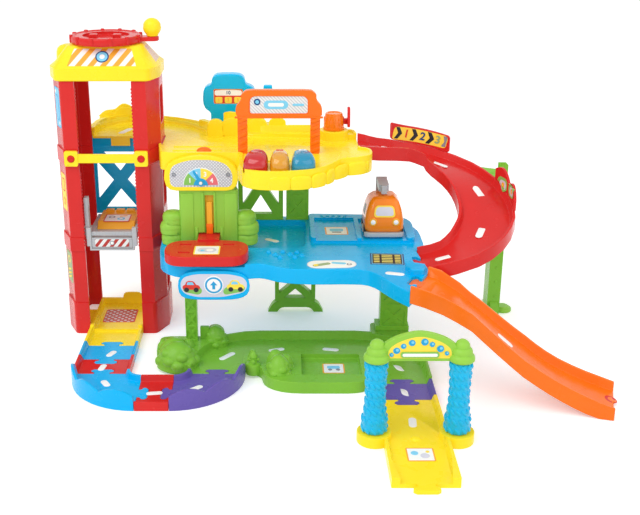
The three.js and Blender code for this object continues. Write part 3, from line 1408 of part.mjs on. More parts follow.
const truckPlaceShares = [4.99, -0.52];
const truckOutlineShares = [[-0.36, -0.42, 0.14], [0.36, -0.42, 0.14], [0.36, 0.36, 0.1], [-0.36, 0.36, 0.1]];
const truckLevelShares = [[0.96, 0.13], [1, 0.2], [0.98, 0.34], [0.88, 0.52], [0.74, 0.66], [0.5, 0.74]];
const chassisShares = [[-0.37, -0.45, 0.14], [0.37, -0.45, 0.14], [0.37, 0.4, 0.1], [-0.37, 0.4, 0.1]];
const chassisHighShare = 0.12;
const chassisLowShare = 0.04;
const boomPostShares = [-0.1, 0.1, 0.38, 0.46, 0.04, 0.93];
const boomShares = [-0.09, 0.09, -0.1, 0.46, 0.8, 0.93];
const hookShares = [-0.05, 0.05, -0.18, -0.08, 0.77, 0.93];
const axlePlaceShares = [['front_wheels', -0.24], ['rear_wheels', 0.22]];
const trackHalfShare = 0.36;

function buildTruck() {
  const [x, y] = truckPlaceShares.map((share) => share * lane);
  const ground = tableOne + lane * bayRiseShare / 2 + gap;
  const place = (body) => move(body, x, y);
  const levels = truckLevelShares.map(([scale, up]) => [scale, ground + up * lane]);
  const outer = lane * trackHalfShare;
  const wheelZ = ground + wheelRadius;
  const inner = outer - wheelWidth;
  const wells = axlePlaceShares.map(([, along]) => join(
    rodAlongX(along * lane, wheelZ, wheelRadius + turningGap, inner - turningGap, lane),
    rodAlongX(along * lane, wheelZ, wheelRadius + turningGap, -lane, -inner + turningGap),
    rodAlongX(along * lane, wheelZ, wheelAxle + gap, -lane, lane),
  ));
  piece('truck_body', cut(place(mound(spread(truckOutlineShares), levels)), wells.map(place)), 'orange');
  const chassis = join(
    plate(spread(chassisShares), ground + lane * chassisLowShare, ground + lane * chassisHighShare),
    block(boomPostShares, ground),
    block(boomShares, ground),
    block(hookShares, ground),
  );
  piece('truck_chassis', cut(place(chassis), wells.map(place)), 'grey');
  axlePlaceShares.forEach(([name, along]) => {
    const wheel = rodAlongX(along * lane, wheelZ, wheelRadius, inner, outer, 20);
    const axle = rodAlongX(along * lane, wheelZ, wheelAxle, -inner - shell, inner + shell);
    piece(name, place(join(wheel, wheel.mirror([1, 0, 0]), axle)), 'black');
  });
}

buildTower();
buildTowerFloor();
buildRearBrace();
buildFrontBar();
buildRoof();
buildPulley();
buildCrank();
buildCrankKnob();
buildWinch();
buildLift();
buildCord();
buildTrack();
buildGreenBase();
buildBlueDeck();
buildYellowDeck();
buildUnderDeck();
buildRamps();
buildFrames();
buildWeighStation();
buildParkingSign();
buildGate();
buildButtons();
buildStop();
buildPump();
buildWash();
buildTruck();

export default garage;
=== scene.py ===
"""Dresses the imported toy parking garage.

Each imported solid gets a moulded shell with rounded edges. The printed sheets, lane dashes, bushes, brushes,
buttons and the truck's wheels are made here, in millimetres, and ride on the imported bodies.
"""

import logging
import math
from dataclasses import dataclass
from enum import Enum
from typing import Iterable, Optional, Union

import bmesh
import bpy
from mathutils import Matrix, Vector
from mathutils.bvhtree import BVHTree
from mathutils.kdtree import KDTree


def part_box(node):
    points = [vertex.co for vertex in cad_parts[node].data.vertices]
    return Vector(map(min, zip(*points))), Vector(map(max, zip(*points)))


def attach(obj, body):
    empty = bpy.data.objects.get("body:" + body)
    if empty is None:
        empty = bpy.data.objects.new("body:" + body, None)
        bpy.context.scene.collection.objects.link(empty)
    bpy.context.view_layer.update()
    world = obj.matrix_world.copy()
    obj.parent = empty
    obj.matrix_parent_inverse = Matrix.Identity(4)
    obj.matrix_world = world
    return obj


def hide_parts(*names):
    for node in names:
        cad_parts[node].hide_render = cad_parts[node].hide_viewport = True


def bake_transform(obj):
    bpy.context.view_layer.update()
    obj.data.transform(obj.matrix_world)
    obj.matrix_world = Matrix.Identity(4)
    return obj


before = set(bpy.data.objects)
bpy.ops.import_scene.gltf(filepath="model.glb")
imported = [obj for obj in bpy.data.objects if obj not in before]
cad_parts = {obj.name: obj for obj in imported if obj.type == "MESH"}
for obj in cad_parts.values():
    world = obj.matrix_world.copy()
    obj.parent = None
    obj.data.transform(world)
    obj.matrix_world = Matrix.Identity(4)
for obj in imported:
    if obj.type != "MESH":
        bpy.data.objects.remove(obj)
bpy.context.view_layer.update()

MM = 0.001
LANE = 80.0  # the width of the toy's lanes, which the solids are drawn from
FULL_TURN = 2 * math.pi
UP = Vector((0, 0, 1))
AHEAD = Vector((0, 1, 0))
FRONT = -300.0  # a ray that meets the toy's front starts at this Y
SIDES = (("left", -1), ("right", 1))

log = logging.getLogger("garage")

Colour = tuple[float, float, float]
Point = tuple[float, float, float]
Pair = tuple[float, float]
Corner = Union[Pair, Point]
Place = Union[Point, Vector]
Mesh = bmesh.types.BMesh
Socket = bpy.types.NodeSocket


class Body(Enum):
    """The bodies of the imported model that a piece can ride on."""

    STRUCTURE = "structure"
    LIFT = "lift"
    LIFT_TRAY = "lift_tray"
    LIFT_FLAP = "lift_flap"
    CRANK = "crank"
    KNOB = "crank_knob"
    PULLEY = "pulley"
    SCALE = "scale"
    POINTER = "pointer"
    RED_BUTTON = "button_red"
    AMBER_BUTTON = "button_amber"
    BLUE_BUTTON = "button_blue"
    STOP = "stop"
    LEFT_BRUSH = "brush_left"
    RIGHT_BRUSH = "brush_right"
    TRUCK = "truck"
    FRONT_WHEELS = "front_wheels"
    REAR_WHEELS = "rear_wheels"


# Finishes


class NodeTree:
    """A material's node tree, filled one node at a time.

    SMEARS, GRAIN and WAVES are noise patterns: a scale per metre and how many finer octaves it has.
    """

    SMEARS = (55, 4)
    SMEAR_SPAN = (0.3, 0.75)
    GRAIN = (1100, 3)
    WAVES = (120, 1)
    WAVE_HEIGHT = 2.0
    WANDER = (-0.05, 0.11)
    BUMP = 0.22

    def __init__(self, name: str) -> None:
        """Starts a material with a plain shader.

        Args:
            name: the material's name.
        """
        self.material = bpy.data.materials.new(name)
        self.material.use_nodes = True
        self.tree = self.material.node_tree
        self.shader = self.tree.nodes["Principled BSDF"]

    def node(self, kind: str, **settings: object) -> bpy.types.Node:
        """Adds a node.

        Args:
            kind: the node's type, without its ShaderNode prefix.
            settings: properties of the node.

        Returns:
            The new node.
        """
        made = self.tree.nodes.new("ShaderNode" + kind)
        for key, value in settings.items():
            setattr(made, key, value)
        return made

    def set(self, **values: Union[float, tuple[float, ...]]) -> None:
        """Sets values of the shader, each named with underscores for spaces."""
        for name, value in values.items():
            self.shader.inputs[name.replace("_", " ")].default_value = value

    def link(self, source: Socket, target: Socket) -> None:
        """Joins an output to an input."""
        self.tree.links.new(source, target)

    def dye(self, colour: Socket, name: str = "Base Color") -> None:
        """Joins a value to an input of the shader."""
        self.link(colour, self.shader.inputs[name])

    def position(self) -> Socket:
        """Gives the place on the piece, in metres."""
        return self.node("TexCoord").outputs["Object"]

    def noise(self, place: Socket, scale: float, detail: float) -> Socket:
        """Adds a noise pattern.

        Args:
            place: where the pattern reads its place.
            scale: its scale, per metre.
            detail: how many finer octaves it has.

        Returns:
            The noise value.
        """
        made = self.node("TexNoise")
        made.inputs["Scale"].default_value = scale
        made.inputs["Detail"].default_value = detail
        self.link(place, made.inputs["Vector"])
        return made.outputs["Fac"]

    def mix(self, factor: Socket, first: Colour, second: Colour) -> Socket:
        """Blends two colours.

        Args:
            factor: 0 gives the first colour and 1 the second.
            first: a linear colour.
            second: a linear colour.

        Returns:
            The blended colour.
        """
        made = self.node("Mix", data_type="RGBA")
        self.link(factor, made.inputs[0])
        made.inputs[6].default_value = (*first, 1)
        made.inputs[7].default_value = (*second, 1)
        return made.outputs[2]

    def range(self, value: Socket, span: Pair, onto: Pair) -> Socket:
        """Maps a value from one span onto another.

        Args:
            value: the value to map.
            span: where it starts and ends.
            onto: what these become.

        Returns:
            The mapped value.
        """
        made = self.node("MapRange")
        made.inputs["From Min"].default_value, made.inputs["From Max"].default_value = span
        made.inputs["To Min"].default_value, made.inputs["To Max"].default_value = onto
        self.link(value, made.inputs["Value"])
        return made.outputs["Result"]

    def math(self, operation: str, first: Socket, second: Union[float, Socket]) -> Socket:
        """Adds a sum, product or comparison.

        Args:
            operation: the math node's operation.
            first: its first value.
            second: its second value, a number or a socket.

        Returns:
            The result.
        """
        made = self.node("Math", operation=operation)
        self.link(first, made.inputs[0])
        if isinstance(second, (int, float)):
            made.inputs[1].default_value = second
        else:
            self.link(second, made.inputs[1])
        return made.outputs["Value"]

    def surface(self, place: Socket, gloss: float, grain: float) -> None:
        """Gives the shader a roughness that wanders and a fine moulded grain.

        Args:
            place: where the patterns read their place.
            gloss: the roughness in the middle.
            grain: the depth of the grain, in millimetres.
        """
        least, most = self.WANDER
        smears = self.range(self.noise(place, *self.SMEARS), self.SMEAR_SPAN, (gloss + least, gloss + most))
        self.dye(smears, "Roughness")
        waves = self.math("MULTIPLY", self.noise(place, *self.WAVES), self.WAVE_HEIGHT)
        height = self.math("ADD", self.noise(place, *self.GRAIN), waves)
        bump = self.node("Bump")
        bump.inputs["Strength"].default_value = self.BUMP
        bump.inputs["Distance"].default_value = grain * MM
        self.link(height, bump.inputs["Height"])
        self.dye(bump.outputs["Normal"], "Normal")


@dataclass(frozen=True)
class Finish:
    """What a piece is made of: the name of its material, and the name of a slot, which is not used."""

    name: str
    slot: str

    def material(self) -> bpy.types.Material:
        """Gives the finish as a material, made once."""
        return bpy.data.materials.get(self.name) or self.mixed()

    def mixed(self) -> bpy.types.Material:
        """Makes the material, which each kind of finish does in its own way."""
        raise NotImplementedError(self.name)


@dataclass(frozen=True)
class Moulded(Finish):
    """A moulded plastic: one colour with slow clouds in it, a fine grain, a wandering gloss and a faint
    painted light: it glows in its own colour.
    """

    CLOUDS = (16, 3)
    CLOUD_SPAN = (0.3, 0.7)

    colour: Colour
    gloss: float = 0.3
    grain: float = 0.008
    cloud: float = 0.04
    glow: float = 0.0
    clear: float = 0.0
    coat: float = 0.06
    # painted light: the plastic also emits its own colour at this strength, which lifts its shaded sides; it
    # is no lamp
    painted_light: float = 0.1

    def mixed(self) -> bpy.types.Material:
        """Makes the material.

        Returns:
            The new material.
        """
        tree = NodeTree(self.name)
        place = tree.position()
        clouds = tree.range(tree.noise(place, *self.CLOUDS), self.CLOUD_SPAN, (0, 1))
        dark = tuple(value * (1 - self.cloud) for value in self.colour)
        light = tuple(min(1.0, value * (1 + self.cloud)) for value in self.colour)
        blend = tree.mix(clouds, dark, light)
        tree.dye(blend)
        # painted light: the emission takes the plastic's own colour, so every moulding glows a little
        tree.dye(blend, "Emission Color")
        tree.surface(place, self.gloss, self.grain)
        tree.set(Emission_Strength=self.painted_light, IOR=1.46, Specular_IOR_Level=0.22)
        tree.set(Coat_Weight=self.coat, Coat_Roughness=0.12, Transmission_Weight=self.clear)
        if self.glow:
            tree.set(Subsurface_Weight=self.glow, Subsurface_Radius=(1, 0.6, 0.4), Subsurface_Scale=4 * MM)
        return tree.material


@dataclass(frozen=True)
class Lined(Finish):
    """A print of parallel lines, or of two sets that cross, on a plain ground."""

    ground: Colour
    ink: Colour
    pitch: float
    share: float
    across: tuple[Point, ...]
    gloss: float = 0.38
    grain: float = 0.006

    def mixed(self) -> bpy.types.Material:
        """Makes the material.

        Returns:
            The new material.
        """
        tree = NodeTree(self.name)
        place = tree.position()
        inked: Optional[Socket] = None
        for direction in self.across:
            dot = tree.node("VectorMath", operation="DOT_PRODUCT")
            dot.inputs[1].default_value = Vector(direction).normalized() / (self.pitch * MM)
            tree.link(place, dot.inputs[0])
            steps = tree.node("Math", operation="FRACT")
            tree.link(dot.outputs["Value"], steps.inputs[0])
            line = tree.math("LESS_THAN", steps.outputs["Value"], self.share)
            inked = line if inked is None else tree.math("MAXIMUM", inked, line)
        tree.dye(tree.mix(inked, self.ground, self.ink))
        tree.surface(place, self.gloss, self.grain)
        tree.set(Specular_IOR_Level=0.25)
        return tree.material


def ink(colour: str, slot: str, shade: Colour, gloss: float = 0.38, cloud: float = 0.04) -> Moulded:
    """Gives the finish of a plain print in one colour."""
    return Moulded(f"{colour} print", slot, shade, gloss=gloss, cloud=cloud)


RED = Moulded("red moulding", "red_plastic", (0.62, 0.02, 0.018), gloss=0.2)
YELLOW = Moulded("yellow moulding", "yellow_plastic", (0.93, 0.72, 0.02), gloss=0.26)
BLUE = Moulded("blue moulding", "blue_plastic", (0.0, 0.42, 0.8), gloss=0.22)
BASE_GREEN = Moulded("base green moulding", "green_plastic", (0.2, 0.47, 0.04), gloss=0.28)
LEAF = Moulded("leaf green moulding", "leaf_plastic", (0.27, 0.55, 0.06), gloss=0.32)
FRAME_GREEN = Moulded("pillar green moulding", "frame_plastic", (0.2, 0.5, 0.04), gloss=0.28)
ORANGE = Moulded("orange moulding", "orange_plastic", (0.86, 0.16, 0.008), gloss=0.22)
PURPLE = Moulded("purple moulding", "purple_plastic", (0.13, 0.09, 0.37), gloss=0.26)
GREY = Moulded("grey moulding", "grey_plastic", (0.27, 0.27, 0.29), gloss=0.36)
TRUCK_GREY = Moulded("pale grey moulding", "grey_plastic", (0.42, 0.44, 0.46), gloss=0.34)
WHITE = Moulded("white moulding", "white_plastic", (0.8, 0.8, 0.78), gloss=0.4)
BLACK = Moulded("black wheel moulding", "wheel_plastic", (0.018, 0.018, 0.02), gloss=0.45)
CORD = Moulded("lift cord weave", "lift_cord", (0.7, 0.69, 0.66), gloss=0.7, grain=0.15, coat=0.0)
BRUSH = Moulded("brush foam", "brush_foam", (0.0, 0.43, 0.72), gloss=0.16, coat=0.3)
PUMP = Moulded("pump blue moulding", "blue_plastic", (0.0, 0.46, 0.8), gloss=0.16, coat=0.15)
TEAL_CLEAR = Moulded("pale clear blue moulding", "blue_clear", (0.35, 0.72, 0.86), gloss=0.18, clear=0.25)
BUTTON_RED = Moulded("clear red moulding", "red_clear", (0.5, 0.006, 0.01), gloss=0.08, glow=0.2, coat=1.0)
BUTTON_AMBER = Moulded("clear amber moulding", "amber_clear", (0.66, 0.3, 0.012), gloss=0.08, glow=0.2,
                       coat=1.0)
BUTTON_BLUE = Moulded("clear blue moulding", "blue_clear", (0.0, 0.24, 0.4), gloss=0.08, glow=0.2, coat=1.0)
CUP_ORANGE = Moulded("cup orange moulding", "orange_plastic", (0.86, 0.2, 0.01), gloss=0.14, glow=0.15,
                     coat=0.4)
TRUCK_ORANGE = Moulded("truck orange moulding", "orange_plastic", (0.86, 0.22, 0.008), gloss=0.1, glow=0.1,
                       coat=0.4)
WARM_YELLOW = Moulded("warm yellow moulding", "orange_plastic", (0.87, 0.42, 0.03), gloss=0.3)
LIFT_GREY = Moulded("lift grey moulding", "grey_plastic", (0.46, 0.465, 0.48), gloss=0.3)

INK_WHITE = ink("white", "white_plastic", (0.86, 0.86, 0.84), gloss=0.36, cloud=0.03)
INK_YELLOW = ink("yellow", "yellow_plastic", (0.9, 0.68, 0.07))
INK_ORANGE = ink("orange", "orange_plastic", (0.85, 0.36, 0.03))
INK_RED = ink("red", "red_plastic", (0.66, 0.045, 0.03))
INK_BLUE = ink("blue", "blue_plastic", (0.02, 0.33, 0.62))
INK_SKY = ink("sky blue", "blue_plastic", (0.2, 0.58, 0.8))
INK_NAVY = ink("dark blue", "blue_plastic", (0.015, 0.06, 0.2))
INK_GREEN = ink("green", "green_plastic", (0.22, 0.5, 0.1))
INK_OLIVE = ink("olive", "green_plastic", (0.3, 0.4, 0.2))
INK_PINK = ink("pink red", "red_plastic", (0.72, 0.15, 0.17))
INK_LILAC = ink("lilac grey", "white_plastic", (0.62, 0.62, 0.7))
INK_GREY = ink("grey", "grey_plastic", (0.24, 0.25, 0.28))
INK_BLACK = ink("black", "wheel_plastic", (0.025, 0.025, 0.03), gloss=0.4)

ROOF_STRIPES = Lined("roof hazard stripes", "orange_plastic", (0.86, 0.84, 0.8), (0.85, 0.4, 0.04), 13, 0.5,
                     ((1.0, 0.0, -0.9),))
FLAP_STRIPES = Lined("flap hazard stripes", "red_plastic", (0.86, 0.86, 0.84), (0.5, 0.045, 0.035), 9, 0.5,
                     ((1.0, 0.0, -0.8),))
ROOF_LATTICE = Lined("roof side lattice", "yellow_plastic", (0.86, 0.8, 0.72), (0.8, 0.42, 0.2), 3.4, 0.22,
                     ((0.0, 1.0, 1.0), (0.0, 1.0, -1.0)))
BASIN_LATTICE = Lined("basin lattice", "white_plastic", (0.85, 0.83, 0.8), (0.6, 0.07, 0.05), 7.6, 0.42,
                      ((1.0, 1.0, 0.0), (1.0, -1.0, 0.0)))
GREY_HATCH = Lined("grey hatch", "grey_plastic", (0.82, 0.83, 0.84), (0.46, 0.47, 0.52), 3.2, 0.4,
                   ((1.0, 0.0, 1.0), (1.0, 0.0, -1.0)))
PALE_HATCH = Lined("pale hatch", "white_plastic", (0.82, 0.83, 0.84), (0.6, 0.61, 0.64), 3.4, 0.4,
                   ((1.0, 0.0, 1.0),))
GRID_LINES = Lined("pit grid", "wheel_plastic", (0.9, 0.78, 0.2), (0.025, 0.025, 0.03), 6.4, 0.5,
                   ((0.07, 1.0, 0.0),))


# Small meshes, in millimetres


def bevel(mesh: Mesh, parts: list, width: float, steps: int = 2, affect: str = "EDGES",
          slide: bool = False) -> None:
    """Rounds edges or corners of a mesh.

    Args:
        mesh: the mesh.
        parts: the edges or corners.
        width: how far back the rounding starts.
        steps: how many steps it has.
        affect: EDGES or VERTICES.
        slide: lets its rims slide along the edges beside them.
    """
    bmesh.ops.bevel(mesh, geom=parts, offset=width, offset_type="OFFSET", segments=steps, profile=0.5,
                    affect=affect, material=-1, clamp_overlap=False, loop_slide=slide)


def raise_up(mesh: Mesh, height: float) -> None:
    """Makes a flat mesh a plate.

    Args:
        mesh: the mesh.
        height: how far the plate's top lies above it.
    """
    grown = bmesh.ops.extrude_face_region(mesh, geom=mesh.faces[:])
    lifted = [item for item in grown["geom"] if isinstance(item, bmesh.types.BMVert)]
    bmesh.ops.translate(mesh, vec=(0, 0, height), verts=lifted)
    bmesh.ops.recalc_face_normals(mesh, faces=mesh.faces)


def face_mesh(outline: Iterable[Corner]) -> Mesh:
    """Makes one flat face in the local X and Y, its corners rounded.

    Args:
        outline: corners as x, y and, where the corner is round, how far back the rounding starts.

    Returns:
        The mesh, facing local +Z.
    """
    mesh = bmesh.new()
    corners = [tuple(corner) + (0.0,) * (3 - len(corner)) for corner in outline]
    verts = [mesh.verts.new((x, y, 0)) for x, y, _ in corners]
    mesh.faces.new(verts)
    for vert, (_, _, reach) in zip(verts, corners):
        if reach > 0:
            bevel(mesh, [vert], reach, 5, "VERTICES")
    bmesh.ops.recalc_face_normals(mesh, faces=mesh.faces)
    if mesh.faces[:][0].normal.z < 0:
        bmesh.ops.reverse_faces(mesh, faces=mesh.faces)
    return mesh


def slab(outline: Iterable[Corner], low: float, high: float, edge: float, segments: int = 3) -> Mesh:
    """Makes a plate from an outline.

    Args:
        outline: its corners, as face_mesh takes them.
        low: the height of its underside.
        high: the height of its top.
        edge: how wide the bevel along its top is.
        segments: how many steps that bevel has.

    Returns:
        The closed mesh.
    """
    mesh = face_mesh(outline)
    bmesh.ops.translate(mesh, vec=(0, 0, low), verts=mesh.verts)
    raise_up(mesh, high - low)
    level = high - edge / 10
    bevel(mesh, [rim for rim in mesh.edges if all(vert.co.z > level for vert in rim.verts)], edge, segments)
    return mesh


def box_outline(width: float, height: float, corner: float, drop: float = 0.0) -> list[Corner]:
    """Gives a rounded box's corners.

    Args:
        width: its width.
        height: its height.
        corner: how far its corners are rounded.
        drop: how far its middle lies under the origin.

    Returns:
        The corners, in order.
    """
    signs = ((-1, -1), (1, -1), (1, 1), (-1, 1))
    return [(across * width / 2, up * height / 2 - drop, corner) for across, up in signs]


def spun(profile: Iterable[Pair], steps: int) -> Mesh:
    """Turns a profile about the local Z axis.

    Args:
        profile: points as reach and height, from the bottom up.
        steps: how many steps the turn has.

    Returns:
        The closed mesh.
    """
    mesh = bmesh.new()
    verts = [mesh.verts.new((reach, 0, height)) for reach, height in profile]
    edges = [mesh.edges.new(pair) for pair in zip(verts, verts[1:])]
    bmesh.ops.spin(mesh, geom=verts + edges, cent=(0, 0, 0), axis=(0, 0, 1), dvec=(0, 0, 0),
                   angle=FULL_TURN, steps=steps, use_merge=True)
    bmesh.ops.remove_doubles(mesh, verts=mesh.verts, dist=0.01)
    bmesh.ops.recalc_face_normals(mesh, faces=mesh.faces)
    return mesh


def fan_mesh(inner: float, outer: float, start: float, turn: float, steps: int) -> Mesh:
    """Makes a flat sector, disc or ring about the local origin.

    Args:
        inner: its inner reach, 0 for a full sector.
        outer: its outer reach.
        start: where it starts, in radians from local +X.
        turn: how far it turns.
        steps: how many steps the turn has.

    Returns:
        The mesh, facing local +Z.
    """
    mesh = bmesh.new()
    first = mesh.verts.new((inner * math.cos(start), inner * math.sin(start), 0))
    last = mesh.verts.new((outer * math.cos(start), outer * math.sin(start), 0))
    edge = mesh.edges.new((first, last))
    bmesh.ops.spin(mesh, geom=[first, last, edge], cent=(0, 0, 0), axis=(0, 0, 1), dvec=(0, 0, 0),
                   angle=turn, steps=steps, use_merge=turn >= FULL_TURN)
    bmesh.ops.remove_doubles(mesh, verts=mesh.verts, dist=0.01)
    bmesh.ops.recalc_face_normals(mesh, faces=mesh.faces)
    if sum(face.normal.z for face in mesh.faces) < 0:
        bmesh.ops.reverse_faces(mesh, faces=mesh.faces)
    return mesh


def ball(reach: Point, levels: int = 2, flat_foot: bool = False) -> Mesh:
    """Makes an egg-shaped ball.

    Args:
        reach: its reach along each axis.
        levels: how finely it is divided.
        flat_foot: cuts off what lies under its middle.

    Returns:
        The closed mesh.
    """
    mesh = bmesh.new()
    bmesh.ops.create_icosphere(mesh, subdivisions=levels, radius=1)
    bmesh.ops.scale(mesh, vec=reach, verts=mesh.verts)
    if flat_foot:
        everything = mesh.verts[:] + mesh.edges[:] + mesh.faces[:]
        cut = bmesh.ops.bisect_plane(mesh, geom=everything, plane_co=(0, 0, 0), plane_no=UP, clear_inner=True)
        rim = [item for item in cut["geom_cut"] if isinstance(item, bmesh.types.BMEdge)]
        bmesh.ops.holes_fill(mesh, edges=rim, sides=0)
    return mesh


def bar(start: Point, end: Point, reach: float, tip: Optional[float] = None) -> Mesh:
    """Makes a round bar between two points, its rims softened.

    Args:
        start: the middle of its first end.
        end: the middle of its last end.
        reach: its radius at the start.
        tip: its radius at the end, the same where it is left out.

    Returns:
        The closed mesh.
    """
    mesh = bmesh.new()
    way = Vector(end) - Vector(start)
    last = reach if tip is None else tip
    bmesh.ops.create_cone(mesh, cap_ends=True, segments=16, radius1=reach, radius2=last, depth=way.length)
    rims = [edge for edge in mesh.edges if abs(edge.verts[0].co.z - edge.verts[1].co.z) < reach / 100]
    bevel(mesh, rims, min(reach, last) / 5)
    middle = (Vector(start) + Vector(end)) / 2
    mesh.transform(Matrix.Translation(middle) @ UP.rotation_difference(way).to_matrix().to_4x4())
    return mesh


def block(low: Point, high: Point, edge: float) -> Mesh:
    """Makes a box between two corners, its edges softened.

    Args:
        low: its lowest corner.
        high: its highest corner.
        edge: how wide its bevels are.

    Returns:
        The closed mesh.
    """
    mesh = bmesh.new()
    size = Vector(high) - Vector(low)
    bmesh.ops.create_cube(mesh, size=1)
    bmesh.ops.scale(mesh, vec=size, verts=mesh.verts)
    bevel(mesh, mesh.edges[:], edge)
    bmesh.ops.translate(mesh, vec=(Vector(low) + Vector(high)) / 2, verts=mesh.verts)
    return mesh


def number_mesh(figures: str, height: float) -> Mesh:
    """Makes plain figures, centred on the local origin.

    Args:
        figures: the digits.
        height: how high they are.

    Returns:
        The flat mesh, facing local +Z.
    """
    curve = bpy.data.curves.new("figures", "FONT")
    curve.body = figures
    curve.align_x, curve.align_y = "CENTER", "CENTER"
    curve.size = height
    curve.offset = height / 40
    curve.resolution_u = 4
    holder = bpy.data.objects.new("figures", curve)
    bpy.context.scene.collection.objects.link(holder)
    bpy.context.view_layer.update()
    data = bpy.data.meshes.new_from_object(holder.evaluated_get(bpy.context.evaluated_depsgraph_get()))
    mesh = bmesh.new()
    mesh.from_mesh(data)
    bpy.data.objects.remove(holder)
    bpy.data.curves.remove(curve)
    bpy.data.meshes.remove(data)
    bmesh.ops.remove_doubles(mesh, verts=mesh.verts, dist=0.001)
    return mesh


# Places


def plane(origin: Place, across: Place, upward: Place) -> Matrix:
    """Gives the frame of a flat place on the toy.

    Args:
        origin: its middle, in millimetres.
        across: the direction of its local X.
        upward: roughly the direction of its local Y.

    Returns:
        The frame, whose local Z points out of the surface.
    """
    right = Vector(across).normalized()
    out = right.cross(Vector(upward)).normalized()
    made = Matrix((right, out.cross(right), out)).transposed().to_4x4()
    made.translation = Vector(origin)
    return made


def facing(x: float, y: float, z: float) -> Matrix:
    """Gives the frame of an upright place that looks at the front."""
    return plane((x, y, z), (1, 0, 0), (0, 0, 1))


def at(x: float, y: float, z: float = 0.0, turn: float = 0.0) -> Matrix:
    """Gives the frame that stands upright at a place, turned by some degrees."""
    return Matrix.Translation((x, y, z)) @ Matrix.Rotation(math.radians(turn), 4, "Z")


def span(node: str) -> tuple[Vector, Vector]:
    """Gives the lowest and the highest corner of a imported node, in millimetres."""
    low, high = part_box(node)
    return low / MM, high / MM


class Carrier:
    """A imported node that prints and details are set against; ABOVE is higher than all of the toy."""

    ABOVE = 600.0
    _trees: dict[str, BVHTree] = {}

    def __init__(self, node: str) -> None:
        """Reads the node's shape once.

        Args:
            node: the node's name.
        """
        self.node = node
        if node not in self._trees:
            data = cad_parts[node].data
            verts = [vert.co / MM for vert in data.vertices]
            self._trees[node] = BVHTree.FromPolygons(verts, [tuple(face.vertices) for face in data.polygons])
        self.tree = self._trees[node]

    def meet(self, start: Vector, way: Vector) -> Optional[tuple[Vector, Vector]]:
        """Finds where a ray meets the node.

        Args:
            start: where the ray starts, in millimetres.
            way: its direction.

        Returns:
            The point and the surface's direction there, or None.
        """
        hit, normal, _, _ = self.tree.ray_cast(start, way)
        return None if hit is None else (hit, normal)

    def resting(self, x: float, y: float, heading: float = 0.0) -> Matrix:
        """Gives the frame of the node's upper surface at a place.

        Args:
            x: the place.
            y: the place.
            heading: the direction of the frame's local X, in degrees from +X.

        Returns:
            The frame, in millimetres.
        """
        found = self.meet(Vector((x, y, self.ABOVE)), -UP)
        if found is None:
            raise ValueError(f"{self.node} has nothing under {x}, {y}")
        hit, normal = found
        turn = math.radians(heading)
        side = normal.cross(Vector((math.cos(turn), math.sin(turn), 0)))
        return plane(hit, side.cross(normal), side)


# Pieces


class Piece:
    """One visible piece in the making: its mesh in millimetres and the finishes on its faces."""

    def __init__(self, name: str) -> None:
        """Starts an empty piece.

        Args:
            name: the piece's name.
        """
        self.name = name
        self.mesh = bmesh.new()
        self.finishes: list[Finish] = []

    def take(self, part: Mesh, finish: Finish, place: Optional[Matrix] = None) -> "Piece":
        """Adds a small mesh in its place.

        Args:
            part: the small mesh, which is used up.
            finish: what it is made of.
            place: where it goes, in millimetres.

        Returns:
            This piece.
        """
        if finish not in self.finishes:
            self.finishes.append(finish)
        for face in part.faces:
            face.material_index = self.finishes.index(finish)
        if place is not None:
            part.transform(place)
        scratch = bpy.data.meshes.new("scratch")
        part.to_mesh(scratch)
        part.free()
        self.mesh.from_mesh(scratch)
        bpy.data.meshes.remove(scratch)
        return self

    def done(self, body: Body = Body.STRUCTURE, replaces: tuple[str, ...] = (), smooth: float = 35.0,
             reach: Optional[tuple[Body, Point, Point]] = None) -> bpy.types.Object:
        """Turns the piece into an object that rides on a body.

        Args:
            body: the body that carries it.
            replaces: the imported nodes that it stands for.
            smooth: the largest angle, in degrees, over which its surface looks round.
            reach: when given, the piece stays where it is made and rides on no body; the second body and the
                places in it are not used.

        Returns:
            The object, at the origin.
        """
        self.mesh.transform(Matrix.Scale(MM, 4))
        data = bpy.data.meshes.new(self.name)
        for finish in self.finishes:
            data.materials.append(finish.material())
        self.mesh.to_mesh(data)
        self.mesh.free()
        data.shade_smooth()
        data.set_sharp_from_angle(angle=math.radians(smooth))
        made = bpy.data.objects.new(self.name, data)
        bpy.context.scene.collection.objects.link(made)
        if reach is None:
            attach(made, body.value)
        else:
            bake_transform(made)
        if replaces:
            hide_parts(*replaces)
        log.info("%s: %d faces on %s", self.name, len(data.polygons), body.value)
        return made


def turned(name: str, profile: list[Pair], finish: Finish, place: Matrix, steps: int,
           smooth: float = 35.0) -> None:
    """Makes a piece of one turned shape that stays with the structure.

    Args:
        name: the piece's name.
        profile: its points as reach and height, from the bottom up.
        finish: what it is made of.
        place: where it goes, in millimetres.
        steps: how many steps the turn has.
        smooth: the largest angle, in degrees, over which it looks round.
    """
    Piece(name).take(spun(profile, steps), finish, place).done(smooth=smooth)


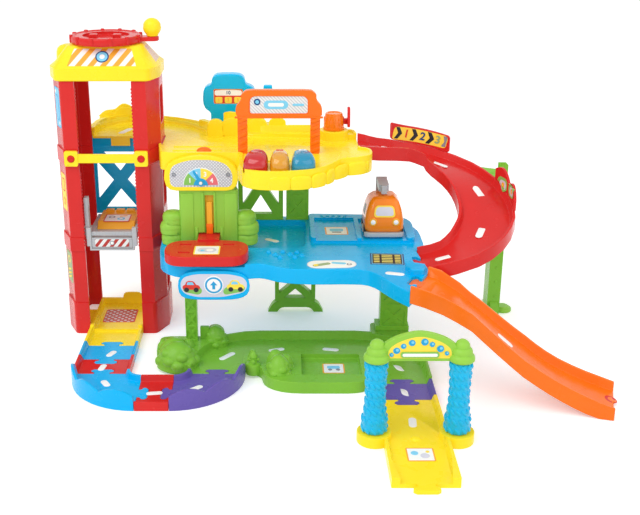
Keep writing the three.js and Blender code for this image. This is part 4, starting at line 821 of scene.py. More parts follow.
class Print(Piece):
    """A printed sheet: flat shapes laid over each other on a surface, in millimetres.

    Each shape lies LAYER over the one before, its foot ROOT under the surface. Against a curved node it is
    cut every PITCH instead and pressed on from AWAY outside.
    """

    LAYER = 0.1
    ROOT = 0.3
    PITCH = 3.0
    AWAY = 60.0

    def __init__(self, name: str, place: Matrix, carrier: Optional[Carrier] = None) -> None:
        """Starts a sheet.

        Args:
            name: the sheet's name.
            place: the frame that its shapes are drawn in.
            carrier: the curved node that it is pressed against, if any.
        """
        super().__init__(name)
        self.place = place
        self.carrier = carrier
        self.layer = 0

    def lay(self, flat: Mesh, finish: Finish, x: float = 0.0, y: float = 0.0, turn: float = 0.0) -> "Print":
        """Lays a flat shape over those before it.

        Args:
            flat: the shape, which is used up.
            finish: its print.
            x: where its origin goes on the sheet.
            y: where its origin goes on the sheet.
            turn: how far it is turned, in degrees.

        Returns:
            This sheet.
        """
        self.layer += 1
        flat.transform(at(x, y, turn=turn))
        if self.carrier is not None:
            self._press(flat)
            return self.take(flat, finish)
        raise_up(flat, self.layer * self.LAYER + self.ROOT)
        bmesh.ops.translate(flat, vec=(0, 0, -self.ROOT), verts=flat.verts)
        return self.take(flat, finish, self.place)

    def _press(self, flat: Mesh) -> None:
        """Cuts a flat shape up and presses it against the carrier.

        Args:
            flat: the shape in the sheet's own frame, which leaves it in the toy's frame.
        """
        for axis, way in enumerate((Vector((1, 0, 0)), Vector((0, 1, 0)))):
            low = min(vert.co[axis] for vert in flat.verts)
            high = max(vert.co[axis] for vert in flat.verts)
            for step in range(1, int((high - low) / self.PITCH) + 1):
                everything = flat.verts[:] + flat.edges[:] + flat.faces[:]
                cut = way * (low + step * self.PITCH)
                bmesh.ops.bisect_plane(flat, geom=everything, plane_co=cut, plane_no=way)
        flat.transform(self.place)
        out = self.place.to_3x3().col[2]
        for vert in flat.verts:
            found = self.carrier.meet(vert.co + out * self.AWAY, -out)
            if found is not None:
                vert.co = found[0]
            vert.co += out * (self.layer * self.LAYER)

    def box(self, width: float, height: float, corner: float, finish: Finish, x: float = 0.0, y: float = 0.0,
            turn: float = 0.0) -> "Print":
        """Lays a rounded box, turned by some degrees."""
        return self.lay(face_mesh(box_outline(width, height, corner)), finish, x, y, turn)

    def shape(self, outline: Iterable[Corner], finish: Finish, x: float = 0.0, y: float = 0.0) -> "Print":
        """Lays a shape with the corners that face_mesh takes."""
        return self.lay(face_mesh(outline), finish, x, y)

    def card(self, width: float, height: float, corner: float, border: Finish, ground: Finish,
             margin: float) -> "Print":
        """Lays a rounded card with a coloured border.

        Args:
            width: its width.
            height: its height.
            corner: how far its corners are rounded.
            border: the border's print.
            ground: the print inside it.
            margin: how wide the border is.

        Returns:
            This sheet.
        """
        self.box(width, height, corner, border)
        inner = max(corner - margin, 0.3)
        return self.box(width - 2 * margin, height - 2 * margin, inner, ground)

    def disc(self, x: float, y: float, reach: float, finish: Finish, inner: float = 0.0) -> "Print":
        """Lays a disc or a ring."""
        return self.lay(fan_mesh(inner, reach, 0, FULL_TURN, 28), finish, x, y)

    def sector(self, x: float, y: float, reach: float, start: float, turn: float, finish: Finish) -> "Print":
        """Lays a sector, its start and turn in degrees."""
        return self.lay(fan_mesh(0, reach, math.radians(start), math.radians(turn), 10), finish, x, y)

    def number(self, figures: str, x: float, y: float, height: float, finish: Finish) -> "Print":
        """Lays plain figures."""
        return self.lay(number_mesh(figures, height), finish, x, y)


def dash(name: str, carrier: Carrier, x: float, y: float, length: float, width: float,
         heading: float) -> None:
    """Lays a white lane dash with round ends.

    Args:
        name: the piece's name.
        carrier: the node that it lies on.
        x: its middle.
        y: its middle.
        length: its length.
        width: its width.
        heading: its direction, in degrees from +X.
    """
    plate = slab(box_outline(length, width, width * 0.49), low=-0.4, high=0.5, edge=0.3, segments=2)
    Piece(name).take(plate, INK_WHITE, carrier.resting(x, y, heading)).done()


class Shell:
    """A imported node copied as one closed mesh, its edges rounded wherever a bevel has room.

    Lengths are in millimetres and angles in degrees. A bevel has no room where it would turn a face away from
    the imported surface, its cosine under TURNED, or take it further off than OFF bevel widths. Each new try
    keeps SPREAD of a bevel width further away from such folds. Folds are told apart to 1 / FOLD_GRID.
    """

    CORNER_SHARES = (1.0, 0.7, 0.5, 0.32)
    NARROW_SHARE = 0.4
    WIDE_TRIES = 9
    NARROW_TRIES = 4
    STEPS = 3
    MERGE = 0.02
    FLAT = 0.6
    SHORTEST = 0.05
    SMALLEST_FACE = 0.02
    TURNED = 0.1
    OFF = 0.75
    SPREAD = 0.2
    ALONG = 0.86
    FOLD_GRID = 2

    def __init__(self, node: str) -> None:
        """Copies the node and merges its loose triangles.

        Args:
            node: the node's name.
        """
        self.mesh = bmesh.new()
        self.mesh.from_mesh(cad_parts[node].data)
        self.mesh.transform(Matrix.Scale(1 / MM, 4))
        bmesh.ops.remove_doubles(self.mesh, verts=self.mesh.verts, dist=self.MERGE)
        self.packed = BVHTree.FromBMesh(self.mesh)
        bmesh.ops.dissolve_limit(self.mesh, angle_limit=math.radians(self.FLAT), verts=self.mesh.verts,
                                 edges=self.mesh.edges)
        bmesh.ops.dissolve_degenerate(self.mesh, edges=self.mesh.edges, dist=self.SHORTEST)

    def rounded(self, width: float, sharp: float, tries: int, along: Optional[Vector] = None,
                least: float = 0.0) -> int:
        """Bevels the sharp edges, leaving out those beside which a bevel would fold over.

        Args:
            width: how wide the bevels are.
            sharp: the smallest angle, in degrees, that is bevelled.
            tries: how often edges are left out and the rest bevelled again.
            along: when given, only outer corners that run along this are bevelled.
            least: how long these corners are at least.

        Returns:
            How many edges were bevelled.
        """
        folds: list[Vector] = []
        for step in range(tries):
            trial = self.mesh.copy()
            rims = self.rims(trial, math.radians(sharp), folds, width * (1 + self.SPREAD * step))
            if along is not None:
                rims = [edge for edge in rims if edge.is_convex and edge.calc_length() >= least
                        and self.run(edge, along) > self.ALONG * edge.calc_length()]
            if rims:
                bevel(trial, rims, width, self.STEPS, slide=True)
            fresh = self.folded(trial, width)
            if not fresh:
                self.mesh.free()
                self.mesh = trial
                return len(rims)
            folds += fresh
            trial.free()
        return 0

    def run(self, edge: bmesh.types.BMEdge, along: Vector) -> float:
        """Gives how far an edge runs along a direction."""
        return abs((edge.verts[0].co - edge.verts[1].co).dot(along))

    def folded(self, mesh: Mesh, width: float) -> list[Vector]:
        """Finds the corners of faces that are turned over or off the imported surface.

        Args:
            mesh: the bevelled mesh.
            width: how wide its bevels are.

        Returns:
            The corners, in millimetres.
        """
        cut = mesh.copy()
        bmesh.ops.triangulate(cut, faces=cut.faces)
        corners: dict[tuple[int, ...], Vector] = {}
        for face in cut.faces:
            if face.calc_area() < self.SMALLEST_FACE:
                continue
            _, normal, _, away = self.packed.find_nearest(face.calc_center_median())
            if face.normal.dot(normal) < self.TURNED or away > width * self.OFF:
                for vert in face.verts:
                    corners[tuple(round(value * self.FOLD_GRID) for value in vert.co)] = vert.co.copy()
        cut.free()
        return list(corners.values())

    def rims(self, mesh: Mesh, sharp: float, folds: list[Vector], room: float) -> list[bmesh.types.BMEdge]:
        """Finds the sharp edges that keep away from the folds.

        Args:
            mesh: the mesh.
            sharp: the smallest angle, in radians.
            folds: the corners to keep away from.
            room: how far.

        Returns:
            The edges.
        """
        spots = KDTree(max(len(folds), 1))
        for index, fold in enumerate(folds):
            spots.insert(fold, index)
        spots.balance()
        found = []
        for edge in mesh.edges:
            if not edge.is_manifold or edge.calc_face_angle(0) <= sharp:
                continue
            start, end = (vert.co for vert in edge.verts)
            steps = int((end - start).length / room) + 1
            places = [start.lerp(end, step / steps) for step in range(steps + 1)]
            if not folds or all(spots.find(place)[2] > room for place in places):
                found.append(edge)
        return found


def softened(node: str, finish: Finish, body: Body = Body.STRUCTURE, edge: float = 0.8, smooth: float = 33.0,
             sharp: float = 32.0, corner: float = 0.0, along: Point = (0, 0, 1), least: float = 26.0) -> None:
    """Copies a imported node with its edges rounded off.

    Args:
        node: the node's name.
        finish: what it is made of.
        body: the body that carries it.
        edge: how wide its bevels are.
        smooth: the largest angle, in degrees, over which its surface looks round.
        sharp: the smallest angle, in degrees, that is bevelled.
        corner: how wide its outer corners along one way are rounded first, 0 for no more than other edges.
        along: the way that these corners run.
        least: how long they are at least.
    """
    shell = Shell(node)
    for share in Shell.CORNER_SHARES if corner > 0 else ():
        if shell.rounded(corner * share, sharp, Shell.WIDE_TRIES, Vector(along), least):
            break
    wide = shell.rounded(edge, sharp, Shell.WIDE_TRIES)
    narrow = shell.rounded(edge * Shell.NARROW_SHARE, sharp, Shell.NARROW_TRIES)
    log.info("%s: %d wide and %d narrow bevels", node, wide, narrow)
    made = Piece(node + "_shell").take(shell.mesh, finish).done(body, replaces=(node,), smooth=smooth)
    even = made.modifiers.new("even shading", "WEIGHTED_NORMAL")
    even.keep_sharp = True
    even.weight = 96
    even.thresh = 0.04


# Sub-assemblies


@dataclass
class Tower:
    """The lift tower: six column modules, the basin, the brace, the front bar and their prints."""

    corner_x: float = 67.5
    corner_y: float = -41.0
    face: Point = (15.0, -32.0, 0.0)
    print_width: float = 25.0
    tooth_pitch: float = 5.0

    def build(self) -> None:
        """Builds and dresses the tower."""
        for side in ("left", "right"):
            for level in ("lower", "middle", "upper"):
                softened(f"tower_{side}_{level}", RED, edge=1.2, corner=6.5)
        softened("tower_floor", YELLOW, edge=0.9)
        softened("rear_brace", BLUE, edge=0.7)
        softened("front_bar", YELLOW, edge=0.8, corner=5, along=(0, 1, 0), least=1)
        self.brace_head()
        self.side_prints()
        self.rack()
        self.pegs()
        self.basin_print()

    def brace_head(self) -> None:
        """Adds the brace's head, which reaches up under the landing."""
        Piece("brace_head").take(block((-43.6, 57.5, 262), (43.6, 62.1, 279), 0.5), BLUE).done()

    def side_place(self, height: float) -> Matrix:
        """Gives the frame of the left column's slanted front face at a height."""
        return plane((-self.corner_x, self.corner_y, height), self.face, UP)

    def side_prints(self) -> None:
        """Lays the blue, yellow and green sheets on the slanted face."""
        upper = Print("tower_print_blue", self.side_place(345))
        upper.card(self.print_width, 58, 3, INK_BLUE, INK_SKY, 1.2)
        upper.box(13, 38, 6, INK_BLUE).box(9, 34, 4, INK_SKY)
        upper.disc(-7, 22, 2.6, INK_WHITE).disc(7, -22, 2.6, INK_WHITE)
        upper.done()
        middle = Print("tower_print_yellow", self.side_place(220))
        middle.card(self.print_width, 56, 3, INK_ORANGE, INK_YELLOW, 1.2)
        middle.box(12, 20, 2, INK_RED, 0, 11).box(8, 16, 1, INK_YELLOW, 0, 11)
        middle.disc(0, -14, 6, INK_ORANGE).disc(0, -14, 3, INK_YELLOW)
        middle.done()
        lower = Print("tower_print_green", self.side_place(103))
        lower.card(self.print_width, 48, 3, INK_GREEN, INK_OLIVE, 1.2)
        lower.disc(0, 12, 6, INK_YELLOW).disc(0, 12, 3.4, INK_OLIVE)
        for step in range(3):
            lower.box(15, 3, 1.4, INK_YELLOW, 0, -4 - 6 * step, 18)
        lower.done()

    def rack(self) -> None:
        """Adds the toothed guide rail on each column's inner front edge."""
        for name, left, right in (("left", -40.6, -38.8), ("right", 38.8, 40.6)):
            rail = Piece(f"guide_teeth_{name}")
            for low, high in ((140, 258), (292, 380)):
                for step in range(int((high - low) / self.tooth_pitch)):
                    z = low + step * self.tooth_pitch
                    rail.take(block((left, -56.2, z), (right, -53.4, z + self.tooth_pitch / 2), 0.3), RED)
            rail.done()

    def pegs(self) -> None:
        """Caps the pegs that the front bar hangs on."""
        profile = [(0, -1), (4.9, -1), (5.0, 0.2), (4.4, 1.0), (2.6, 1.3), (2.2, 0.7), (0, 0.6)]
        for name, x in (("left", -50.0), ("right", 50.0)):
            turned(f"bar_peg_{name}", profile, RED, facing(x, -64.4, 275), 24)

    def basin_print(self) -> None:
        """Lays the lattice sheet in the basin."""
        sheet = Print("basin_print", Carrier("tower_floor").resting(-2, -4))
        sheet.card(50, 50, 4, INK_RED, BASIN_LATTICE, 1.4).done()


@dataclass
class Roof:
    """The tower's roof with its prints, the crank, its knob, the winch and the pulley."""

    pod_x: float = -60.8
    pod_y: float = 24.8
    knob_x: float = 66.0
    knob_z: float = 451.4
    knob_reach: float = 13.0
    knob_steps: int = 14
    seam_step: int = 6
    seam: float = 0.45
    ribs: int = 12

    def build(self) -> None:
        """Builds and dresses the roof and the crank."""
        softened("roof", YELLOW, edge=2.4, smooth=40, corner=7, least=8)
        softened("crank_disc", RED, Body.CRANK, edge=1.3)
        softened("winch_drum", WHITE, Body.CRANK, edge=0.4)
        softened("guide_pulley", GREY, Body.PULLEY, edge=0.3)
        self.prints()
        self.crank_rim()
        self.knob()
        self.pod()

    def prints(self) -> None:
        """Lays the striped sheet in front and the lattice sheets at the sides."""
        front = Print("roof_print_front", plane((0, -44.5, 416), (1, 0, 0), (0, 25, 28)))
        front.shape([(-48, -14), (48, -14), (40, 14), (-40, 14)], ROOF_STRIPES)
        front.disc(0, 1, 9.5, INK_NAVY).disc(0, 1, 7.6, INK_SKY).disc(0, 1, 3.6, INK_WHITE)
        front.done()
        for name, side in SIDES:
            place = plane((side * 63.9, 0, 416), (0, side, 0), (-side * 22.2, 0, 28))
            sheet = Print(f"roof_print_{name}", place)
            sheet.shape([(-22, -13), (22, -13), (13, 13), (-13, 13)], ROOF_LATTICE).done()

    def crank_rim(self) -> None:
        """Makes the crank's round rim with the ribs on it."""
        made = Piece("crank_rim")
        profile = [(45, 431.2), (49.4, 431.2), (50.2, 432), (50.2, 439.4), (49.4, 441), (47.4, 441.8),
                   (45.2, 441.2), (44.2, 439.6), (44.2, 432), (45, 431.2)]
        made.take(spun(profile, 72), RED)
        for step in range(self.ribs):
            place = Matrix.Rotation(FULL_TURN * (step + 0.5) / self.ribs, 4, "Z")
            made.take(block((46.6, -2.6, 431.4), (51.8, 2.6, 442.8), 1.2), RED, place)
        made.done(Body.CRANK, smooth=50)

    def knob(self) -> None:
        """Makes the round knob with its collar and seam."""
        profile = [(0, 3), (4.4, 3), (4.4, -12.2), (7.6, -12.2), (8.4, -11.4), (8.6, -10.2)]
        start, turn = -52, 142
        for step in range(1, self.knob_steps - 1):
            angle = math.radians(start + step * (turn / self.knob_steps))
            reach = self.knob_reach - (self.seam if step == self.seam_step else 0)
            profile.append((reach * math.cos(angle), reach * math.sin(angle)))
        profile += [(3.6, self.knob_reach - 0.4), (0.0, self.knob_reach - 0.15)]
        made = Piece("crank_ball").take(spun(profile, 40), YELLOW, at(self.knob_x, 0, self.knob_z))
        made.done(Body.KNOB, replaces=("crank_knob",), smooth=40)

    def pod(self) -> None:
        """Makes the round pod on the roof's left side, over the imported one."""
        profile = [(0, 4.6), (15.4, 4.6), (16.6, 6), (17.4, 15.6), (17.2, 16.2), (17.4, 17), (16.6, 29),
                   (15, 33.6), (11.4, 37), (6, 38.8), (0, 39)]
        turned("roof_pod", profile, YELLOW, at(self.pod_x, self.pod_y, 385), 36, 50)


@dataclass
class Lift:
    """The lift's carriage, tray, flap and cord."""

    pulley: float = 18.0
    cord_foot: float = 0.5

    def build(self) -> None:
        """Builds and dresses the lift."""
        softened("lift_carriage", LIFT_GREY, Body.LIFT, edge=0.6)
        softened("lift_tray", WARM_YELLOW, Body.LIFT_TRAY, edge=1.0)
        softened("lift_flap", LIFT_GREY, Body.LIFT_FLAP, edge=0.4)
        self.cord()
        self.tray_print()
        self.flap_print()
        self.bars()

    def cord(self) -> None:
        """Makes the cord, which runs between the pulley and the lift and rides on no body."""
        low, high = span("lift_cord")
        ends = (low.x, low.y, high.z - self.pulley), (low.x, low.y, low.z + self.cord_foot)
        cord = Piece("cord_run").take(Shell("lift_cord").mesh, CORD)
        cord.done(replaces=("lift_cord",), smooth=50, reach=(Body.LIFT, *ends))

    def tray_print(self) -> None:
        """Lays the sheet on the tray."""
        sheet = Print("lift_tray_print", Carrier("lift_tray").resting(0, 8))
        sheet.card(40, 34, 3, INK_RED, INK_WHITE, 2)
        sheet.disc(-9, 4, 5, INK_GREY, 3.2).disc(6, -4, 6, INK_SKY).disc(6, -4, 2.6, INK_WHITE)
        sheet.box(12, 3, 1.2, INK_ORANGE, 8, 9, 20)
        sheet.done(Body.LIFT_TRAY)

    def flap_print(self) -> None:
        """Lays the striped sheet on the flap."""
        low, high = span("lift_flap")
        sheet = Print("lift_flap_print", facing(0, low.y, (low.z + high.z) / 2))
        sheet.box(50, 11.5, 1.5, FLAP_STRIPES)
        sheet.disc(0, 0, 3.4, INK_GREY).disc(0, 0, 2.4, INK_WHITE)
        sheet.done(Body.LIFT_FLAP)

    def bars(self) -> None:
        """Adds the ribs on the carriage's front bar and the bolts on its upright."""
        made = Piece("lift_bar_ribs")
        for step in range(-6, 7):
            x = step * 4.6
            made.take(block((x - 0.7, -53.3, 156.4), (x + 0.7, -51.6, 160.8), 0.25), LIFT_GREY)
        for z in (176, 190, 204):
            made.take(bar((-36, -50.2, z), (-36, -48.8, z), 1.5), LIFT_GREY)
        made.done(Body.LIFT)


@dataclass
class Track:
    """The ground track pieces with their dashes."""

    def build(self) -> None:
        """Builds and dresses the track."""
        looks = {
            "straight_blue": BLUE, "straight_red": RED, "curve_blue": BLUE, "straight_cross": RED,
            "curve_purple": PURPLE, "connector_purple": PURPLE,
        }
        for node, finish in looks.items():
            softened(node, finish)
        marks = (
            ("blue", "straight_blue", 4, -140, 20, 9, 65),
            ("red", "straight_red", -2, -184, 20, 9, 80),
            ("bend", "curve_blue", 10, -232, 20, 9, 120),
            ("cross", "straight_cross", 80, -260, 22, 9, 8),
            ("purple", "curve_purple", 134, -246, 22, 9, 40),
            ("link", "connector_purple", 415, -258, 9, 20, 0),
        )
        for name, node, *mark in marks:
            dash(f"track_dash_{name}", Carrier(node), *mark)


@dataclass
class Base:
    """The green base with its bushes, hydrant, dashes and parking sheet."""

    floor: float = 5.0
    humps: int = 15
    hump_share: float = 0.42
    hump_flatness: float = 0.8
    hump_inset: float = 0.76
    lowest_hump: float = 0.02
    hump_range: float = 0.92

    def build(self) -> None:
        """Builds and dresses the base."""
        softened("green_base", BASE_GREEN, edge=1.0)
        base = Carrier("green_base")
        self.bush("base_bush_large", (103, -176), (29, 25), 40.6)
        self.bush("base_bush_front", (246, -217), (18, 19), 41)
        self.bush("base_bush_back", (153, -109), (17.5, 16), 35.6)
        self.hydrant()
        marks = (("left", 172, -148, 30, 9, 50), ("middle", 243, -127, 24, 9, 18),
                 ("right", 322, -126, 24, 9, -10), ("bend", 415, -186, 9, 20, 15))
        for name, *mark in marks:
            dash(f"base_dash_{name}", base, *mark)
        sheet = Print("base_tray_print", base.resting(323, -191))
        sheet.card(31, 30, 2.5, INK_ORANGE, INK_WHITE, 2)
        sheet.box(18, 9, 3, INK_SKY, 0, 3).disc(-5, -4, 3, INK_GREY).disc(6, -4, 3, INK_GREY)
        sheet.done()

    def bush(self, name: str, middle: Pair, reach: Pair, top: float) -> None:
        """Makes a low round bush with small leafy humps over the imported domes.

        Args:
            name: the piece's name.
            middle: its middle, x and y.
            reach: its reach along x and y.
            top: the height of its top.
        """
        foot = at(*middle, self.floor)
        rise = top - self.floor
        made = Piece(name).take(ball((*reach, rise), 4, flat_foot=True), BASE_GREEN, foot)
        size = self.hump_share * min(reach)
        height = size * self.hump_flatness
        golden_angle = math.pi * (3 - math.sqrt(5))
        for step in range(self.humps):
            up = (step + 0.5) / self.humps * self.hump_range + self.lowest_hump
            out = self.hump_inset * math.sqrt(1 - up * up)
            x = reach[0] * out * math.cos(golden_angle * step)
            y = reach[1] * out * math.sin(golden_angle * step)
            place = at(x, y, max(self.hump_inset * rise * up, height))
            made.take(ball((size, size, height), 3), BASE_GREEN, foot @ place)
        made.done(smooth=60)

    def hydrant(self) -> None:
        """Makes the hydrant with its collar, cap and side outlets."""
        profile = [(0, 4), (10.4, 4), (11, 6), (10.8, 17), (9.6, 19.4), (6, 20.4), (5.2, 22), (5, 28),
                   (6, 29), (5.8, 31), (3.6, 35), (2.2, 36.4), (1.8, 38), (0, 38.4)]
        outlets = bar((-8.6, 0, 25), (8.6, 0, 25), 2.2), bar((0, -9, 25), (0, 0, 25), 2.4)
        made = Piece("base_hydrant")
        for part in (spun(profile, 28), *outlets):
            made.take(part, BASE_GREEN, at(211, -198))
        made.done(smooth=40)


@dataclass
class BlueDeck:
    """The blue first storey with its prints, dashes, studs and the sign under its skirt."""

    sign_margin: float = 4.0

    def build(self) -> None:
        """Builds and dresses the first storey."""
        softened("blue_deck", BLUE, edge=1.2)
        self.prints()
        self.lane()
        self.sign()

    def prints(self) -> None:
        """Lays the bay, strip and pit sheets."""
        deck = Carrier("blue_deck")
        bay = Print("bay_print", deck.resting(332, -38))
        bay.card(34, 34, 2, INK_ORANGE, INK_WHITE, 2)
        bay.box(20, 12, 3, INK_SKY, 0, 3).box(14, 4, 1, INK_GREY, 0, -7).done()
        strip = Print("strip_print", deck.resting(319, -166, 3))
        strip.card(68, 30, 14, INK_LILAC, INK_WHITE, 1.2)
        strip.box(26, 8, 3.5, INK_OLIVE, -14, -1, 20).box(20, 7, 3, INK_SKY, 10, 3, -14)
        strip.disc(-22, -3, 3.4, INK_YELLOW).disc(24, -2, 3.6, INK_GREY).disc(24, -2, 2, INK_WHITE)
        strip.done()
        pit = Print("pit_print", deck.resting(397, -146, -4))
        pit.card(47, 44, 1.5, INK_NAVY, INK_SKY, 2)
        pit.box(41, 37, 0.5, INK_BLACK)
        for x, width in ((-14.6, 8), (0, 15), (14.6, 8)):
            pit.box(width, 34, 0.5, GRID_LINES, x, 0)
        pit.done()

    def lane(self) -> None:
        """Lays the dashes and the studs of the bays."""
        deck = Carrier("blue_deck")
        dash("deck_dash_front", deck, 402, -202, 26, 10, -16)
        dash("deck_dash_sunk", deck, 236, -44, 24, 9, -35)
        made = Piece("bay_studs")
        for count, x, y, pitch in ((5, 312, 20, 9), (4, 316, 12, 10)):
            for step in range(count):
                stud = ball((3.2, 2.6, 1.3), 2, flat_foot=True)
                made.take(stud, BLUE, deck.resting(x + step * pitch, y))
        made.done(smooth=50)

    def sign(self) -> None:
        """Makes the parking sign: a lilac field, green hills, two plain cars and a round badge."""
        softened("parking_sign", BLUE, edge=1.2)
        low, high = span("parking_sign")
        centre = (low + high) / 2
        sheet = Print("parking_print", facing(centre.x, low.y, centre.z))
        half = (high.x - low.x) / 2 - self.sign_margin
        field = [(-half, -10, 9), (-26, -17, 8), (12, -17, 8), (half, -9, 9), (half, 11, 9), (22, 17, 8),
                 (-26, 17, 8), (-half, 11, 9)]
        left_hill = [(-half + 2, -9, 6), (-20, -14, 4), (-14, -6, 6), (-24, 0, 6), (-half + 3, -3, 6)]
        right_hill = [(14, -14, 4), (half - 2, -8, 6), (half - 3, -1, 6), (26, 2, 6), (12, -5, 6)]
        sheet.shape(field, INK_LILAC).shape(left_hill, INK_GREEN).shape(right_hill, INK_GREEN)
        self.car(sheet, -31, -2, INK_RED)
        self.car(sheet, 30, -1, INK_YELLOW)
        sheet.disc(0, 1, 13.5, INK_WHITE).disc(0, 1, 12, INK_BLUE).disc(0, 1, 9.4, INK_WHITE)
        sheet.shape([(-2, -6), (2, -6), (2, 0), (5, 0), (0, 6), (-5, 0), (-2, 0)], INK_BLUE, 0, 1)
        sheet.done()

    def car(self, sheet: Print, x: float, y: float, finish: Finish) -> None:
        """Lays a plain car on the sign.

        Args:
            sheet: the sign's sheet.
            x: the car's middle.
            y: the car's middle.
            finish: the car's print.
        """
        outline = [(-12, -4, 3), (12, -4, 3), (12, 2, 3), (6.4, 3.4, 1), (3.4, 9, 3), (-6, 9, 3),
                   (-8.6, 3, 1), (-12, 2, 2)]
        sheet.shape(outline, finish, x, y)
        sheet.shape([(-6.2, 3.2), (4, 3.2), (2, 7.4, 1.4), (-5, 7.4, 1.4)], INK_SKY, x, y)
        sheet.disc(x - 6.6, y - 4.2, 3.4, INK_BLACK).disc(x + 6.6, y - 4.2, 3.4, INK_BLACK)


@dataclass
class YellowDeck:
    """The yellow second storey with its dash, bay lines, crests and flutes, and the boxes under it."""

    flute_depth: float = 3.0
    crest_height: float = 32.0

    def build(self) -> None:
        """Builds and dresses the second storey."""
        softened("yellow_deck", YELLOW, edge=1.2)
        softened("sound_unit", WHITE, edge=0.8)
        softened("battery_cover", GREY, edge=0.5)
        deck = Carrier("yellow_deck")
        dash("landing_dash", deck, 8, 84, 36, 10, 68)
        self.lines(deck)
        self.crests()
        self.flutes()
        self.nub()
        self.under()

    def lines(self, deck: Carrier) -> None:
        """Lays the raised bay lines on the deck."""
        made = Piece("deck_lines")
        places = ((130, -40, 70, 0), (130, -62, 70, 0), (206, -8, 50, 86), (236, -120, 60, 4),
                  (150, 10, 60, -8), (250, 20, 46, 0), (330, -96, 36, 80))
        for x, y, length, heading in places:
            line = slab(box_outline(length, 2.8, 1.2), low=-0.4, high=1.1, edge=0.6, segments=2)
            made.take(line, YELLOW, deck.resting(x, y, heading))
        made.done()

    def crests(self) -> None:
        """Adds the rounded crests of the deck's rear wall."""
        made = Piece("wall_crests")
        places = ((150, 50, 26, 306), (174, 50, 30, 308.6), (214, 50, 30, 308.6), (-1, 143.4, 36, 305),
                  (-28, 143.4, 30, 298))
        for x, y, width, top in places:
            outline = box_outline(width, self.crest_height, width * 0.46, drop=self.crest_height / 2)
            made.take(slab(outline, low=-8, high=0.6, edge=1.6), YELLOW, facing(x, y, top))
        made.done(smooth=40)

    def flutes(self) -> None:
        """Adds the upright flutes round the deck's front skirt."""
        made = Piece("skirt_flutes")
        way = [(192, -112), (194, -143), (207, -170), (233, -181), (262, -180.4), (290, -174), (310, -157),
               (322, -135), (342, -112), (368, -101), (377, -76)]
        profile = [(0, 264.6), (0.86, 264.6), (1, 267), (1, 278), (0.9, 281.2), (0.6, 283), (0, 283.4)]
        for start, end in zip(map(Vector, way), map(Vector, way[1:])):
            middle, ahead = (start + end) / 2, end - start
            flute = spun(profile, 28)
            flute.transform(Matrix.Diagonal((ahead.length / 2, self.flute_depth, 1, 1)))
            made.take(flute, YELLOW, at(*middle, turn=math.degrees(math.atan2(ahead.y, ahead.x))))
        made.done(smooth=50)

    def nub(self) -> None:
        """Makes the orange nub behind the dial."""
        nub = ball((11, 7, 7), 3, flat_foot=True)
        Piece("dial_nub").take(nub, ORANGE, at(140, -64, 286)).done(smooth=50)

    def under(self) -> None:
        """Adds the screws and the finger grip under the deck."""
        made = Piece("cover_screws")
        profile = [(0, 0), (2.6, 0), (2.9, -0.8), (2.4, -1.2), (1.2, -1.2), (1.0, -0.7), (0, -0.7)]
        for x in (226, 274):
            made.take(spun(profile, 20), GREY, at(x, -129.6, 264.6))
        for step in range(4):
            made.take(block((240 + step * 5, -140, 263.8), (242.4 + step * 5, -134, 264.7), 0.3), GREY)
        made.done()


@dataclass
class Ramps:
    """The red and the orange ramp with their dashes and signs."""

    def build(self) -> None:
        """Builds and dresses the ramps."""
        softened("red_ramp", RED)
        softened("orange_ramp", ORANGE)
        ramp = Carrier("red_ramp")
        places = ((412, 16, 8), (489, 20, -22), (541, -33, -62), (531, -112, -114), (476, -147, 190))
        for step, (x, y, heading) in enumerate(places):
            dash(f"ramp_dash_{step + 1}", ramp, x, y, 26, 10, heading)
        slope = Carrier("orange_ramp")
        dash("slope_dash", slope, 544, -257, 26, 11, -16)
        tab = Print("slope_tab", slope.resting(685, -279, -12), slope)
        tab.box(17, 17, 8, RED).box(12, 12, 5.6, ORANGE, 1.6, 0).done()
        self.number_sign()
        self.cloud_sign()

    def number_sign(self) -> None:
        """Makes the sign with plain numbers and dark chevrons."""
        softened("number_sign", RED, edge=0.6, corner=8, along=(0, 1, 0), least=1)
        low, high = span("number_sign")
        place = plane((low + high) / 2, (0.985, 0.05, -0.2), UP)
        sheet = Print("number_print", place, Carrier("number_sign"))
        sheet.shape([(-43, -10.5, 4), (42, -10, 4), (42, 9.5, 6), (-43, 9.5, 6)], INK_YELLOW)
        for x in (-34, -8, 17):
            sheet.shape([(-6, -9), (0, -9), (6, 0), (0, 9), (-6, 9), (-1, 0)], INK_BLACK, x, 0)
        sheet.shape([(35, -8), (41, -8, 2), (41, 8.6, 2), (35, 8.6), (38, 0)], INK_GREY)
        for figures, x, finish in (("1", -21, INK_RED), ("2", 5, INK_NAVY), ("3", 28, INK_OLIVE)):
            sheet.number(figures, x, 0, 17, finish)
        sheet.done()

    def cloud_sign(self) -> None:
        """Makes the two-lobed sign at the ramp's far bend."""
        softened("cloud_sign", RED, edge=0.6)
        low, high = span("cloud_sign")
        sheet = Print("lobe_print", plane((low + high) / 2, (0.1, -1, 0), UP), Carrier("cloud_sign"))
        for x in (-18, 18):
            sheet.box(29, 20, 9, INK_GREEN, x, 0).box(20, 13, 6, INK_LILAC, x + 1, -1)
            sheet.disc(x + 1, -1, 4, INK_ORANGE).disc(x + 1, -1, 1.8, INK_YELLOW)
        sheet.done()


